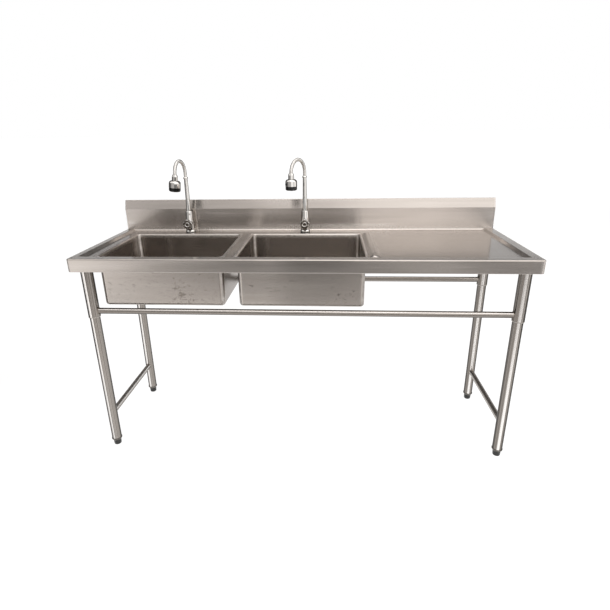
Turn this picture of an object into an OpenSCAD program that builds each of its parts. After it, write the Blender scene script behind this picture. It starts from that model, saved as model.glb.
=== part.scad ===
// Double-bowl pot sink with a right-hand drainboard, on a tubular stand.
// The origin lies on the floor below the middle of the worktop, with +X to
// the right, +Y towards the wall and +Z up. All sizes are in millimetres.

/* [Worktop] */
// Width of the worktop from end to end
top_w = 1800; // [1500:10:2200]
// Depth of the worktop from its front edge to the wall
top_d = 600; // [590:10:760]
// Height of the worktop's rim above the floor
rim_h = 900; // [720:10:1100]
// Thickness of the worktop sheet
top_t = 1.2; // [1:0.1:1.6]
// Depth of the folded apron at the front and the ends
apron_h = 53; // [42:1:70]
// Width of the inward return along the apron's lower edge
apron_return = 12; // [8:1:14]
// Radius of the apron's upright front corners
corner_r = 13; // [11:1:20]
// Outside radius of the fold from the rim down to the apron
rim_fold_r = 5; // [3:0.5:6]
// Width of the flat rim along the front
rim_front = 40; // [30:1:46]
// Width of the flat rim at the left end
rim_left = 30; // [24:1:40]
// Width of the flat rim at the right end
rim_right = 40; // [24:1:50]
// Drop from the rim to the sunken deck
deck_drop = 10; // [6:1:14]
// Width of the slope between the rim and the deck
slope_w = 13; // [8:1:18]

/* [Splashback] */
// Distance from the wall to the splashback's front face
splash_back = 20; // [14:1:26]
// Height of the crease above the rim
splash_crease = 98; // [60:1:200]
// Height of the splashback's top above the crease
splash_band = 43; // [30:1:60]
// Outer radius of the fold along the top
splash_fold_r = 3; // [2:0.5:5]
// Height of the flat return against the wall
splash_return = 33; // [20:1:38]

/* [Bowls] */
// Inside width of each bowl
bowl_w = 505; // [400:5:610]
// Inside depth of each bowl from front to back
bowl_d = 412; // [340:2:414]
// Depth of each bowl below the rim, to the outside of its floor
bowl_h = 220; // [150:5:250]
// Thickness of the bowl sheet
bowl_t = 1.2; // [1:0.1:1.6]
// Inside radius of the bowl's upright corners
bowl_r = 18; // [15:1:50]
// Inside radius round the bowl's floor
bowl_floor_r = 12; // [6:1:14]
// Outside radius of the rolled lip round each opening
lip_r = 5; // [3:0.5:7]
// Distance from the left end to the first bowl's inside wall
bowl_margin = 87; // [84:1:140]
// Distance between the two bowls' inside walls
bowl_gap = 61; // [40:1:120]
// Distance from the front edge to the bowls' inside wall
bowl_front = 79; // [78:1:86]

/* [Drip ridge] */
// Width of the ridge's flat top
ridge_top_w = 20; // [10:1:30]
// Width of each of the ridge's sloping sides
ridge_side_w = 14; // [8:1:20]
// Height of the ridge above the deck
ridge_h = 8; // [4:1:10]
// Gap from the second bowl's inside wall to the ridge's foot
ridge_gap = 12; // [10:1:40]
// Length of the ridge over its feet
ridge_l = 450; // [300:5:450]

/* [Stand] */
// Outside diameter of the legs
leg_d = 42; // [35:0.1:51]
// Wall of the legs
leg_t = 1.2; // [1:0.1:2]
// Distance from the front edge to the front legs' axes
leg_front = 60; // [56:1:66]
// Distance from the wall to the rear legs' axes
leg_rear = 92; // [80:1:92]
// Gap between a leg and its sleeve
sleeve_gap = 1.5; // [0.3:0.1:2]
// Wall of the sleeves
sleeve_t = 1.5; // [1:0.1:2]
// Distance from the rim down to the sleeves' lower ends
sleeve_drop = 263; // [255:1:330]
// Outside diameter of the long rails and the side braces
rail_d = 25; // [20:1:25]
// Wall of the rails and braces
rail_t = 1.2; // [1:0.1:2]
// Distance from the rim down to the rails' axes
rail_drop = 237; // [234:1:240]
// Height of the side braces' axes above the floor
brace_z = 165; // [100:5:400]
// Thickness of the channels and stiffeners below the deck
channel_t = 1.5; // [1:0.1:2]
// Depth of the channels and stiffeners below the deck
channel_h = 28; // [16:1:34]
// Gap from the apron's return to the leg channel's flange
channel_gap = 3; // [1:0.5:10]

/* [Feet] */
// Height of the foot's body
foot_h = 25; // [20:1:40]
// Diameter of the foot's body at its top
foot_d = 34; // [30:1:38]
// Diameter of the foot's body at the floor
foot_floor_d = 31; // [26:1:34]
// Diameter of the adjusting stem
stem_d = 11.9; // [9.9:0.1:15.9]
// Length of the adjusting stem above the foot's body
stem_l = 55; // [45:1:80]
// Height of the insert's cone below its flange
insert_cone = 6; // [4:1:10]
// Thickness of the insert's flange
insert_flange = 5; // [3:1:8]

/* [Taps] */
// Distance from the wall to the taps' axes
tap_back = 55; // [54:1:58]
// Sideways distance of the taps from the bowls' middles, to the right
tap_shift = -5.5; // [-10:0.5:10]
// Height of the tap body above the deck
tap_h = 105; // [100:1:130]
// Diameter of the tap body's lower part
tap_d = 41.5; // [38:0.5:44]
// Diameter of the tap body at its shoulder
tap_top_d = 33.6; // [30:0.2:38]
// Diameter of the threaded tail below the deck
tail_d = 20.95; // [20.9:0.05:26.4]
// Length of the tail below the deck
tail_l = 55; // [45:1:70]
// Length of the inlet's thread at the tail's lower end
inlet_l = 20; // [15:1:24]
// Height of the handwheel's axis above the deck
knob_z = 46; // [30:2:48]
// Diameter of the handwheel over its lobes
knob_d = 48; // [36:1:50]
// Thickness of the handwheel
knob_l = 23; // [18:1:28]
// Number of lobes on the handwheel
knob_lobes = 5; // [4:1:8]
// Length of the rigid riser above the tap body
riser_l = 150; // [120:1:220]
// Diameter of the riser at its foot
riser_d = 22; // [20:0.5:24]
// Diameter of the riser at its top
riser_top_d = 18; // [17:0.5:20]
// Diameter of the flexible neck
neck_d = 16.3; // [14:0.1:17]
// Height of the neck's straight part above the ring
neck_rise = 27; // [15:1:80]
// Radius of the neck's bend
neck_r = 57.5; // [45:0.5:80]
// Diameter of the spray head
head_d = 54; // [46:1:62]
// Height of the spray head with its face
head_h = 52; // [46:1:64]
// Height of the black face ring at the head's lower end
face_h = 20; // [16:1:22]
// Diameter of the push button
button_d = 11; // [8:0.5:13]
// Travel of the push button
button_travel = 2; // [1:0.5:3]

/* [Waste] */
// Diameter of the waste's flange in the bowl
waste_flange_d = 110; // [104:1:120]
// Diameter of the cup's thread
waste_cup_d = 88; // [80:1:92]
// Depth of the cup below the bowl's floor
waste_cup_h = 37; // [35:1:45]
// Diameter of the outlet's thread
outlet_d = 47.8; // [42:0.1:60]
// Length of the outlet below the cup
outlet_l = 28; // [25:1:35]

/* [Hidden] */
$fn = 72;

// Colours of the materials
steel = [0.68, 0.66, 0.63];
bright_steel = [0.78, 0.77, 0.75];
chrome = [0.86, 0.86, 0.86];
black_plastic = [0.05, 0.05, 0.05];
grey_plastic = [0.27, 0.28, 0.27];
rubber = [0.12, 0.12, 0.12];
brass = [0.74, 0.62, 0.33];

// Clearances: an overshoot for cuts, a weld gap, a slip fit, a running fit,
// and what washers and the taps' holes have round a thread
cut = 1;
weld_gap = 0.05;
slip = 0.1;
running = 0.05;
washer_gap = 0.4;
tap_hole_gap = 1.4;

// Heights of the deck and of what hangs from it
deck_z = rim_h - deck_drop;
under_deck = deck_z - top_t;
apron_z = rim_h - apron_h;
web_z = under_deck - channel_t;
lip_z = deck_z - lip_r;

// Planes of the splashback
wall_y = top_d / 2;
face_y = wall_y - splash_back;
crease_z = rim_h + splash_crease;
splash_top = crease_z + splash_band;
cove_r = deck_drop;
lap_h = 40;
rear_return_y = face_y + 2 * top_t - apron_return;

// Bowls
bowl_x = [
    -top_w / 2 + bowl_margin + bowl_w / 2,
    -top_w / 2 + bowl_margin + bowl_w * 1.5 + bowl_gap
];
bowl_y = -top_d / 2 + bowl_front + bowl_d / 2;
bowl_z = rim_h - bowl_h;
bowl_floor = bowl_z + bowl_t;

// Drip ridge and what stiffens the drainboard beside it
ridge_w = ridge_top_w + 2 * ridge_side_w;
ridge_x = bowl_x[1] + bowl_w / 2 + ridge_gap + ridge_w / 2;
ridge_y = -top_d / 2 + rim_front + slope_w + 2 + ridge_l / 2;
under_ridge = top_t * norm([ridge_side_w, ridge_h]) / ridge_h;

// Sleeves, legs and channels
sleeve_id = leg_d + 2 * sleeve_gap;
sleeve_d = sleeve_id + 2 * sleeve_t;
sleeve_z = rim_h - sleeve_drop;
channel_side = 2.5;
channel_w = sleeve_d + 2 * channel_side + 2 * channel_t;
leg_x = top_w / 2 - apron_return - channel_gap - channel_w / 2;
leg_y = [-top_d / 2 + leg_front, top_d / 2 - leg_rear];
rail_z = rim_h - rail_drop;
channel_y = [-top_d / 2 + 14, face_y - 14];
stiffener_w = 50;
stiffener_rim = 12;
stiffener_step = (leg_x - channel_w / 2 - ridge_x - ridge_w / 2) / 3;
screw_d = 8;
screw_boss_d = 16;
screw_boss_l = 7;
screw_z = sleeve_z + 60;

// Feet
insert_z = foot_h + insert_cone + insert_flange;
insert_plug = 30;
insert_cone_d = 36;
insert_overhang = 1.5;

// Tap, measured up from the deck and out from its axis
tap_x = [bowl_x[0] + tap_shift, bowl_x[1] + tap_shift];
tap_y = wall_y - tap_back;
gasket_h = 2;
gasket_d = 45.6;
flange_d = 46.4;
flange_h = 5;
flange_slope = 5;
taper_z = 45;
shoulder_r = 5;
shoulder_z = tap_h - shoulder_r;
relief_w = 2;
relief_h = 0.8;
boss_d = 28;
boss_l = 24;
water_d = 12;
cartridge_d = 17.8;
cartridge_l = 26;
spindle_d = 6;
spindle_l = 34;
knob_back = boss_l + 0.5;
knob_edge = 4;
knob_face = 5;
washer_d = 38;
washer_h = 1.5;
nut_af = 30;
nut_h = 10;
socket_d = 18.2;
socket_l = 27;
spigot_d = socket_d - 2 * slip;
groove_w = 6.6;
groove_d = 15.6;
set_screw_d = 6;
set_screw_z = tap_h - 15;
seal_d = 1.8;
seal_z = tap_h - 22;
ring_d = 24;
ring_h = 8;
riser_wall = 1.5;
neck_bore = 11;
bend_z = tap_h + riser_l + neck_rise;
neck_tail = 4;
nut_play = 0.6;
nut_seat = 1.2;

// Spout and screw bearings, in degrees to the left of straight forwards,
// and the sideways lean of each hanging head
spout_turn = [6, 28.5];
screw_turn = [-20, 38];
head_lean = [7, 0];
head_turn = [170, 25];

// Spray head, measured down from the neck's lower end
nut_top = 3;
nut_d = 27;
nut_neck_d = 20.4;
nut_l = 25;
head_z = nut_l - nut_top;
head_shoulder = 13;
button_z = head_z + 22;
button_out = 2.2;
button_l = 8;
hole_d = 2;
hole_h = 1.5;

// Waste
recess_h = 3;
recess_gap = 2;
waste_flange_h = 2;
cup_wall = 1.5;
cup_top = bowl_floor - recess_h;
cup_z = cup_top - waste_cup_h;
recess_under = bowl_z - recess_h;
drain_gap = 0.3;
waste_gasket_h = 3;
lock_nut_h = 12;
lock_nut_d = 112;
lock_nut_grips = 8;
stopper_h = 3;
stopper_d = waste_cup_d - 28;
basket_floor = cup_z + cup_wall + stopper_h;
basket_t = 1;
basket_low_d = waste_cup_d - 26;
basket_top_d = waste_cup_d - 2 * cup_wall - 3;
basket_rim_d = waste_cup_d - 2 * cup_wall - 0.6;
basket_h = 31;
basket_slots = 16;
slot_w = 4;
post_d = 5;
pin_d = 7;
hub_d = 12;
knob_ball_d = 16;
spider_w = 3;

// A rectangle with rounded corners, centred on the origin
module round_rect(w, d, r) {
    square([w, d - 2 * r], center = true);
    square([w - 2 * r, d], center = true);
    for (sx = [-1, 1], sy = [-1, 1])
        translate([sx * (w / 2 - r), sy * (d / 2 - r)])
            circle(r = r);
}

// Sweeps a profile round a rounded rectangle. The profile is drawn with X
// outwards from the rectangle's edge and Y up
module sweep_round(w, d, r) {
    for (a = [0 : 90 : 270]) {
        side = (a % 180 == 0) ? [w, d] : [d, w];
        rotate([0, 0, a]) {
            translate([side[0] / 2 - r, side[1] / 2 - r, 0])
                rotate_extrude(angle = 90)
                    translate([r, 0])
                        children();
            translate([side[0] / 2, side[1] / 2 - r, 0])
                rotate([90, 0, 0])
                    linear_extrude(side[1] - 2 * r)
                        children();
        }
    }
}

// The upper right quarter of a disc, reaching a little past its centre so
// that it merges with the shape whose corner it rounds
module quarter_disc(r) {
    reach = 0.5;
    intersection() {
        circle(r = r);
        translate([-reach, -reach])
            square(r + reach);
    }
}

// The lower right quarter of a disc, reaching in by a little more
module floor_round(r) {
    intersection() {
        translate([-r, 0])
            circle(r = r);
        translate([-r, -r])
            square([r, r]);
    }
    translate([-r - 2, -r])
        square([2.001, r]);
}

// A solid with upright rounded sides and a rounded lower edge
module pan(w, d, r, floor_r, z0, z1) {
    translate([0, 0, z0 + floor_r]) {
        linear_extrude(z1 - z0 - floor_r)
            round_rect(w, d, r);
        sweep_round(w, d, r)
            floor_round(floor_r);
    }
    translate([0, 0, z0])
        linear_extrude(floor_r + 0.5)
            round_rect(w - 2 * floor_r, d - 2 * floor_r, r - floor_r);
}

// A tube along Z
module tube(d, t, z0, z1) {
    translate([0, 0, z0])
        difference() {
            cylinder(h = z1 - z0, d = d);
            translate([0, 0, -cut])
                cylinder(h = z1 - z0 + 2 * cut, d = d - 2 * t);
        }
}

// A flat ring along Z
module ring(outer_d, inner_d, z0, z1) {
    tube(outer_d, (outer_d - inner_d) / 2, z0, z1);
}

// The worktop's outline with rounded front corners, drawn in by inset
module top_outline(inset, back) {
    r = corner_r - inset;
    x = top_w / 2 - inset;
    y = -top_d / 2 + inset;
    translate([-x, y + r])
        square([2 * x, back - y - r]);
    translate([-x + r, y])
        square([2 * (x - r), back - y]);
    for (s = [-1, 1])
        translate([s * (x - r), y + r])
            circle(r = r);
}

// The folded block below the rim, drawn in by inset on all sides and on top.
// Its upper edge is rounded along the front, the corners and both ends
module folded_block(inset, z0, back) {
    r = rim_fold_r - inset;
    x = top_w / 2 - rim_fold_r;
    y = -top_d / 2 + corner_r;
    turn_r = corner_r - rim_fold_r;
    fold_z = rim_h - rim_fold_r;
    translate([0, 0, z0])
        linear_extrude(fold_z - z0)
            top_outline(inset, back);
    translate([0, 0, fold_z - cut])
        linear_extrude(r + cut)
            top_outline(rim_fold_r, back);
    translate([-x + turn_r, y - turn_r, fold_z])
        rotate([90, 0, 90])
            linear_extrude(2 * (x - turn_r))
                mirror([1, 0])
                    quarter_disc(r);
    for (s = [-1, 1]) {
        translate([s * (x - turn_r), y, fold_z])
            rotate([0, 0, s < 0 ? 180 : 270])
                rotate_extrude(angle = 90)
                    translate([turn_r, 0])
                        quarter_disc(r);
        translate([s * x, back, fold_z])
            rotate([90, 0, 0])
                linear_extrude(back - y)
                    mirror([s < 0 ? 1 : 0, 0])
                        quarter_disc(r);
    }
}

// The hollow of the sunken deck. Its sides are two profiles crossed, which
// mitres the slopes, and lower drops it by the sheet for the under side
module deck_hollow(lower) {
    lean = norm([slope_w, deck_drop]) / deck_drop;
    out = lower * lean;
    floor_z = deck_z - lower;
    run = slope_w / deck_drop;
    rise = deck_drop + cut;
    left = -top_w / 2 + rim_left + slope_w - out + lower * run;
    right = top_w / 2 - rim_right - slope_w + out - lower * run;
    front = -top_d / 2 + rim_front + slope_w - out + lower * run;
    back = face_y + lower;
    intersection() {
        translate([0, top_d, 0])
            rotate([90, 0, 0])
                linear_extrude(2 * top_d)
                    polygon([
                        [left, floor_z],
                        [right, floor_z],
                        [right + rise * run, floor_z + rise],
                        [left - rise * run, floor_z + rise]
                    ]);
        translate([-top_w, 0, 0])
            rotate([90, 0, 90])
                linear_extrude(2 * top_w)
                    difference() {
                        polygon([
                            [front, floor_z],
                            [back, floor_z],
                            [back, floor_z + rise],
                            [front - rise * run, floor_z + rise]
                        ]);
                        difference() {
                            translate([face_y - cove_r, floor_z - cut])
                                square([cove_r + lower + cut, cove_r + lower + cut]);
                            translate([face_y - cove_r, floor_z + cove_r + lower])
                                circle(r = cove_r + lower);
                        }
                    }
    }
}

// The ridge's outside, or its hollow when drawn in and down by the sheet
module ridge_form(lower) {
    wide = ridge_w / 2 - (lower > 0 ? under_ridge - lower * ridge_side_w / ridge_h : 0);
    low = deck_z - lower;
    slope = ridge_side_w / ridge_h;
    narrow = wide - ridge_h * slope;
    half = ridge_l / 2 - ridge_w / 2;
    foot = lower > 0 ? cut : 0;
    translate([ridge_x, ridge_y, 0]) {
        for (s = [-1, 1])
            translate([0, s * half, low - foot])
                cylinder(h = ridge_h + foot, r1 = wide + foot * slope, r2 = narrow);
        translate([0, half, 0])
            rotate([90, 0, 0])
                linear_extrude(2 * half)
                    polygon([
                        [-wide - foot * slope, low - foot],
                        [wide + foot * slope, low - foot],
                        [narrow, low + ridge_h],
                        [-narrow, low + ridge_h]
                    ]);
    }
}

// Points of an arc about a centre from angle a0 to a1
function arc(c, r, a0, a1, n) = [
    for (i = [0 : n])
        c + r * [cos(a0 + (a1 - a0) * i / n), sin(a0 + (a1 - a0) * i / n)]
];

// The splashback's folded section in Y and Z, up the face, back along the
// band, round the fold and down the wall
module splash_section(bottom) {
    fold = [wall_y - splash_fold_r, splash_top - splash_fold_r];
    crease = [face_y, crease_z];
    to_fold = fold - crease;
    band = atan2(to_fold[1], to_fold[0]) + asin(splash_fold_r / norm(to_fold));
    inner_crease = [
        face_y + top_t,
        crease_z - top_t * tan((90 - band) / 2)
    ];
    outer_arc = arc(fold, splash_fold_r, band + 90, 0, 14);
    inner_arc = arc(fold, splash_fold_r - top_t, 0, band + 90, 14);
    return_z = splash_top - splash_fold_r - splash_return;
    polygon(concat(
        [[face_y, bottom], crease],
        outer_arc,
        [[wall_y, return_z], [wall_y - top_t, return_z]],
        inner_arc,
        [inner_crease, [face_y + top_t, bottom]]
    ));
}

// The closed end of the splashback, with the band's slope
module splash_end_section() {
    fold = [wall_y - splash_fold_r, splash_top - splash_fold_r];
    to_fold = fold - [face_y, crease_z];
    band = atan2(to_fold[1], to_fold[0]) + asin(splash_fold_r / norm(to_fold));
    polygon(concat(
        [[face_y, apron_z], [face_y, crease_z]],
        arc(fold, splash_fold_r, band + 90, 0, 14),
        [[wall_y, apron_z]]
    ));
}

// The inward return along the apron's lower edge at the front and ends
module apron_lip() {
    difference() {
        translate([0, 0, apron_z])
            linear_extrude(top_t)
                top_outline(0, rear_return_y);
        translate([0, 0, apron_z - cut])
            linear_extrude(top_t + 2 * cut)
                translate([-top_w / 2 + apron_return, -top_d / 2 + apron_return])
                    square([top_w - 2 * apron_return, top_d]);
    }
}

// The rolled lip round a bowl's opening
module bowl_lip() {
    translate([0, 0, lip_z])
        sweep_round(bowl_w, bowl_d, bowl_r) {
            difference() {
                translate([lip_r, 0])
                    circle(r = lip_r);
                translate([lip_r, 0])
                    circle(r = lip_r - top_t);
                translate([-cut, -lip_r - cut])
                    square([2 * lip_r + 2 * cut, lip_r + cut]);
                translate([lip_r, -cut])
                    square([lip_r + cut, lip_r + 2 * cut]);
            }
            translate([lip_r - 0.001, lip_r - top_t])
                square([cut, top_t]);
        }
}

module worktop() {
    color(steel)
        difference() {
            union() {
                difference() {
                    folded_block(0, apron_z, wall_y);
                    deck_hollow(0);
                    difference() {
                        folded_block(top_t, apron_z - cut, wall_y + cut);
                        deck_hollow(top_t);
                    }
                    translate([-top_w / 2 + top_t, face_y + top_t, apron_z - cut])
                        cube([top_w - 2 * top_t, splash_back, apron_h + 2 * cut]);
                    for (x = bowl_x)
                        translate([x, bowl_y, under_deck - cut])
                            linear_extrude(top_t + 2 * cut)
                                round_rect(bowl_w + 2 * lip_r, bowl_d + 2 * lip_r, bowl_r + lip_r);
                }
                for (x = bowl_x)
                    translate([x, bowl_y, 0])
                        bowl_lip();
                apron_lip();
                ridge_form(0);
                translate([-top_w / 2, 0, 0])
                    rotate([90, 0, 90])
                        linear_extrude(top_w)
                            splash_section(rim_h - top_t);
                for (x = [-top_w / 2, top_w / 2 - top_t])
                    translate([x, 0, 0])
                        rotate([90, 0, 90])
                            linear_extrude(top_t)
                                splash_end_section();
            }
            ridge_form(top_t);
            for (x = tap_x)
                translate([x, tap_y, under_deck - cut])
                    cylinder(h = top_t + 2 * cut, d = tail_d + tap_hole_gap);
        }
}

// The strip behind the splashback that stiffens the worktop's rear edge
module rear_apron() {
    w = top_w - 2 * top_t;
    color(steel)
        translate([-w / 2, 0, 0])
            rotate([90, 0, 90])
                linear_extrude(w)
                    polygon([
                        [face_y + top_t, apron_z + top_t],
                        [face_y + top_t, rim_h + lap_h],
                        [face_y + 2 * top_t, rim_h + lap_h],
                        [face_y + 2 * top_t, apron_z],
                        [rear_return_y, apron_z],
                        [rear_return_y, apron_z + top_t]
                    ]);
}

module bowl(i) {
    color(steel)
        translate([bowl_x[i], bowl_y, 0])
            difference() {
                union() {
                    pan(
                        bowl_w + 2 * bowl_t, bowl_d + 2 * bowl_t,
                        bowl_r + bowl_t, bowl_floor_r + bowl_t,
                        bowl_z, lip_z
                    );
                    translate([0, 0, recess_under])
                        cylinder(h = recess_h + bowl_t / 2, d = waste_flange_d + 2 * recess_gap + 2 * bowl_t);
                }
                pan(bowl_w, bowl_d, bowl_r, bowl_floor_r, bowl_floor, lip_z + cut);
                translate([0, 0, cup_top])
                    cylinder(h = recess_h + cut, d = waste_flange_d + 2 * recess_gap);
                translate([0, 0, recess_under - cut])
                    cylinder(h = recess_h + 2 * cut, d = waste_cup_d + 2 * drain_gap);
            }
}

// An inverted channel along Y below the deck, with its web at the top
module channel(w, flange) {
    translate([0, channel_y[1], 0])
        rotate([90, 0, 0])
            linear_extrude(channel_y[1] - channel_y[0])
                difference() {
                    union() {
                        translate([-w / 2, under_deck - channel_h])
                            square([w, channel_h]);
                        translate([-w / 2 - flange, under_deck - channel_t])
                            square([w + 2 * flange, channel_t]);
                    }
                    translate([-w / 2 + channel_t, under_deck - channel_h - cut])
                        square([w - 2 * channel_t, channel_h - channel_t + cut]);
                }
}

module leg_channel(s) {
    color(steel)
        translate([s * leg_x, 0, 0])
            channel(channel_w, 0);
}

module drainboard_stiffeners() {
    color(steel)
        for (i = [1, 2])
            translate([ridge_x + ridge_w / 2 + i * stiffener_step, 0, 0])
                channel(stiffener_w, stiffener_rim);
}

// The sleeve that takes a leg, with the threaded boss for its grub screw
module sleeve(sx, iy) {
    color(bright_steel)
        translate([sx * leg_x, leg_y[iy], 0])
            difference() {
                union() {
                    tube(sleeve_d, sleeve_t, sleeve_z, web_z);
                    translate([0, sleeve_d / 2 - sleeve_t / 2, screw_z])
                        rotate([-90, 0, 0])
                            cylinder(h = sleeve_t / 2 + screw_boss_l, d = screw_boss_d);
                }
                translate([0, sleeve_id / 2 - cut, screw_z])
                    rotate([-90, 0, 0])
                        cylinder(h = sleeve_t + screw_boss_l + 2 * cut, d = screw_d + 2 * slip);
                translate([0, 0, screw_z - screw_boss_d])
                    cylinder(h = 2 * screw_boss_d, d = sleeve_id);
            }
}

module leg_grub_screws() {
    color(bright_steel)
        for (sx = [-1, 1], iy = [0, 1])
            translate([sx * leg_x, leg_y[iy] + leg_d / 2 + slip, screw_z])
                rotate([-90, 0, 0])
                    difference() {
                        cylinder(h = sleeve_gap + sleeve_t + screw_boss_l, d = screw_d);
                        translate([0, 0, sleeve_gap + sleeve_t + screw_boss_l - 4])
                            cylinder(h = 4 + cut, d = 4.6, $fn = 6);
                    }
}

// A long rail, coped to the two sleeves that it joins
module rail(iy) {
    color(bright_steel)
        difference() {
            translate([0, leg_y[iy], rail_z])
                rotate([0, 90, 0])
                    tube(rail_d, rail_t, -leg_x, leg_x);
            for (s = [-1, 1])
                translate([s * leg_x, leg_y[iy], rail_z - rail_d])
                    cylinder(h = 2 * rail_d, d = sleeve_d + 2 * weld_gap);
        }
}

module leg(sx, iy) {
    color(bright_steel)
        translate([sx * leg_x, leg_y[iy], 0])
            tube(leg_d, leg_t, insert_z, web_z);
}

// A side brace, coped to the front and the rear leg
module brace(sx) {
    color(bright_steel)
        difference() {
            translate([sx * leg_x, 0, brace_z])
                rotate([-90, 0, 0])
                    tube(rail_d, rail_t, leg_y[0], leg_y[1]);
            for (y = leg_y)
                translate([sx * leg_x, y, brace_z - rail_d])
                    cylinder(h = 2 * rail_d, d = leg_d + 2 * weld_gap);
        }
}

// The insert in each leg's lower end: a plug, a flange and a cone, bored
// for the foot's stem
module foot_inserts() {
    color(bright_steel)
        for (sx = [-1, 1], y = leg_y)
            translate([sx * leg_x, y, 0])
                difference() {
                    union() {
                        translate([0, 0, foot_h])
                            cylinder(h = insert_cone, d1 = insert_cone_d, d2 = leg_d + 2 * insert_overhang);
                        translate([0, 0, foot_h + insert_cone])
                            cylinder(h = insert_flange, d = leg_d + 2 * insert_overhang);
                        translate([0, 0, insert_z - cut])
                            cylinder(h = insert_plug + cut, d = leg_d - 2 * leg_t - 2 * slip);
                    }
                    translate([0, 0, foot_h - cut])
                        cylinder(h = insert_z + insert_plug, d = stem_d + 2 * running);
                }
}

// An adjustable foot with its stem
module foot(sx, iy) {
    edge = 4;
    low = foot_floor_d / 2;
    color(grey_plastic)
        translate([sx * leg_x, leg_y[iy], 0]) {
            rotate_extrude()
                union() {
                    polygon([[0, 0], [low - edge, 0], [low, edge], [foot_d / 2, foot_h - 1],
                        [foot_d / 2 - 1, foot_h], [0, foot_h]]);
                    translate([low - edge, edge])
                        mirror([0, 1])
                            quarter_disc(edge);
                }
            translate([0, 0, foot_h - cut])
                cylinder(h = stem_l + cut, d = stem_d);
        }
}

// Places what belongs to a tap on the deck at the tap's axis
module at_tap(i) {
    translate([tap_x[i], tap_y, deck_z])
        children();
}

// Turns what belongs to a spout to its bearing
module at_spout(i) {
    at_tap(i)
        rotate([0, 0, -spout_turn[i]])
            children();
}

// Places what hangs from the neck's lower end, with Z along the head
module at_head(i) {
    at_spout(i)
        translate([0, -2 * neck_r, bend_z])
            rotate([0, head_lean[i], 0])
                children();
}

module tap_gaskets() {
    color(rubber)
        for (i = [0, 1])
            at_tap(i)
                ring(gasket_d, tail_d + washer_gap, 0, gasket_h);
}

module tap_washers() {
    color(bright_steel)
        for (i = [0, 1])
            at_tap(i)
                ring(washer_d, tail_d + washer_gap, -top_t - washer_h, -top_t);
}

module tap_back_nuts() {
    color(brass)
        for (i = [0, 1])
            at_tap(i)
                translate([0, 0, -top_t - washer_h - nut_h])
                    difference() {
                        cylinder(h = nut_h, d = nut_af / cos(30), $fn = 6);
                        translate([0, 0, -cut])
                            cylinder(h = nut_h + 2 * cut, d = tail_d + 2 * slip);
                    }
}

// The turned outline of the tap body, from its flange to its shoulder
module tap_outline() {
    top_r = tap_top_d / 2;
    polygon([
        [0, gasket_h],
        [flange_d / 2 - 1, gasket_h],
        [flange_d / 2, gasket_h + 1],
        [flange_d / 2, gasket_h + flange_h],
        [tap_d / 2, gasket_h + flange_h + flange_slope],
        [tap_d / 2, taper_z],
        [top_r, shoulder_z],
        [top_r - shoulder_r, shoulder_z],
        [top_r - shoulder_r, tap_h],
        [0, tap_h]
    ]);
    translate([top_r - shoulder_r, shoulder_z])
        quarter_disc(shoulder_r);
}

module tap_body(i) {
    color(chrome)
        at_tap(i)
            difference() {
                union() {
                    rotate_extrude()
                        tap_outline();
                    translate([0, 0, knob_z])
                        rotate([90, 0, 0])
                            cylinder(h = boss_l, d = boss_d);
                    translate([0, 0, -tail_l])
                        cylinder(h = tail_l + gasket_h + cut, d = tail_d);
                }
                translate([0, 0, -tail_l - cut])
                    cylinder(h = tail_l + tap_h, d = water_d);
                translate([0, boss_l - cartridge_l, knob_z])
                    rotate([90, 0, 0])
                        cylinder(h = boss_l + cut + (boss_l - cartridge_l), d = cartridge_d + 2 * slip);
                translate([0, 0, tap_h - socket_l])
                    cylinder(h = socket_l + cut, d = socket_d);
                translate([0, 0, seal_z - seal_d / 2 - slip])
                    cylinder(h = seal_d + 2 * slip, d = socket_d + 2 * seal_d + 2 * slip);
                rotate([0, 0, -screw_turn[i]])
                    translate([0, 0, set_screw_z])
                        rotate([90, 0, 0])
                            cylinder(h = tap_d, d = set_screw_d + 2 * slip);
                ring(
                    tail_d + 2 * cut, tail_d - 2 * relief_h,
                    inlet_l - tail_l, inlet_l + relief_w - tail_l
                );
            }
}

module valve_cartridges() {
    color(brass)
        for (i = [0, 1])
            at_tap(i)
                translate([0, boss_l - cartridge_l, knob_z])
                    rotate([90, 0, 0])
                        difference() {
                            cylinder(h = cartridge_l - 4, d = cartridge_d);
                            translate([0, 0, cartridge_l - spindle_l])
                                cylinder(h = spindle_l, d = spindle_d + 2 * running);
                        }
}

module valve_spindle(i) {
    color(brass)
        at_tap(i)
            translate([0, -knob_back - knob_l + knob_face, knob_z])
                rotate([-90, 0, 0])
                    cylinder(h = spindle_l, d = spindle_d);
}

// The handwheel: lobes round a hub, turned to a rounded edge, with a
// domed cap in its face
module tap_knob(i) {
    lobe_d = knob_d * 0.3;
    core_d = knob_d * 0.62;
    back_d = knob_d * 0.72;
    cap_d = knob_d * 0.4;
    groove = knob_d * 0.04;
    groove_h = 1.5;
    bevel_h = 6;
    bore_h = knob_l - knob_face;
    color(chrome)
        at_tap(i)
            translate([0, -knob_back, knob_z])
                rotate([90, 0, 0])
                    difference() {
                        intersection() {
                            linear_extrude(knob_l) {
                                circle(d = core_d);
                                for (k = [0 : knob_lobes - 1])
                                    rotate(90 + k * 360 / knob_lobes)
                                        translate([knob_d / 2 - lobe_d / 2, 0])
                                            circle(d = lobe_d);
                            }
                            rotate_extrude()
                                union() {
                                    polygon([
                                        [0, 0],
                                        [back_d / 2, 0],
                                        [knob_d / 2, bevel_h],
                                        [knob_d / 2, knob_l - knob_edge],
                                        [knob_d / 2 - knob_edge, knob_l],
                                        [0, knob_l]
                                    ]);
                                    translate([knob_d / 2 - knob_edge, knob_l - knob_edge])
                                        quarter_disc(knob_edge);
                                }
                        }
                        translate([0, 0, -cut])
                            cylinder(h = bore_h + cut + running, d = spindle_d + 2 * running);
                        ring(cap_d + groove, cap_d - groove, knob_l - groove_h, knob_l + cut);
                    }
}

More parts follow.
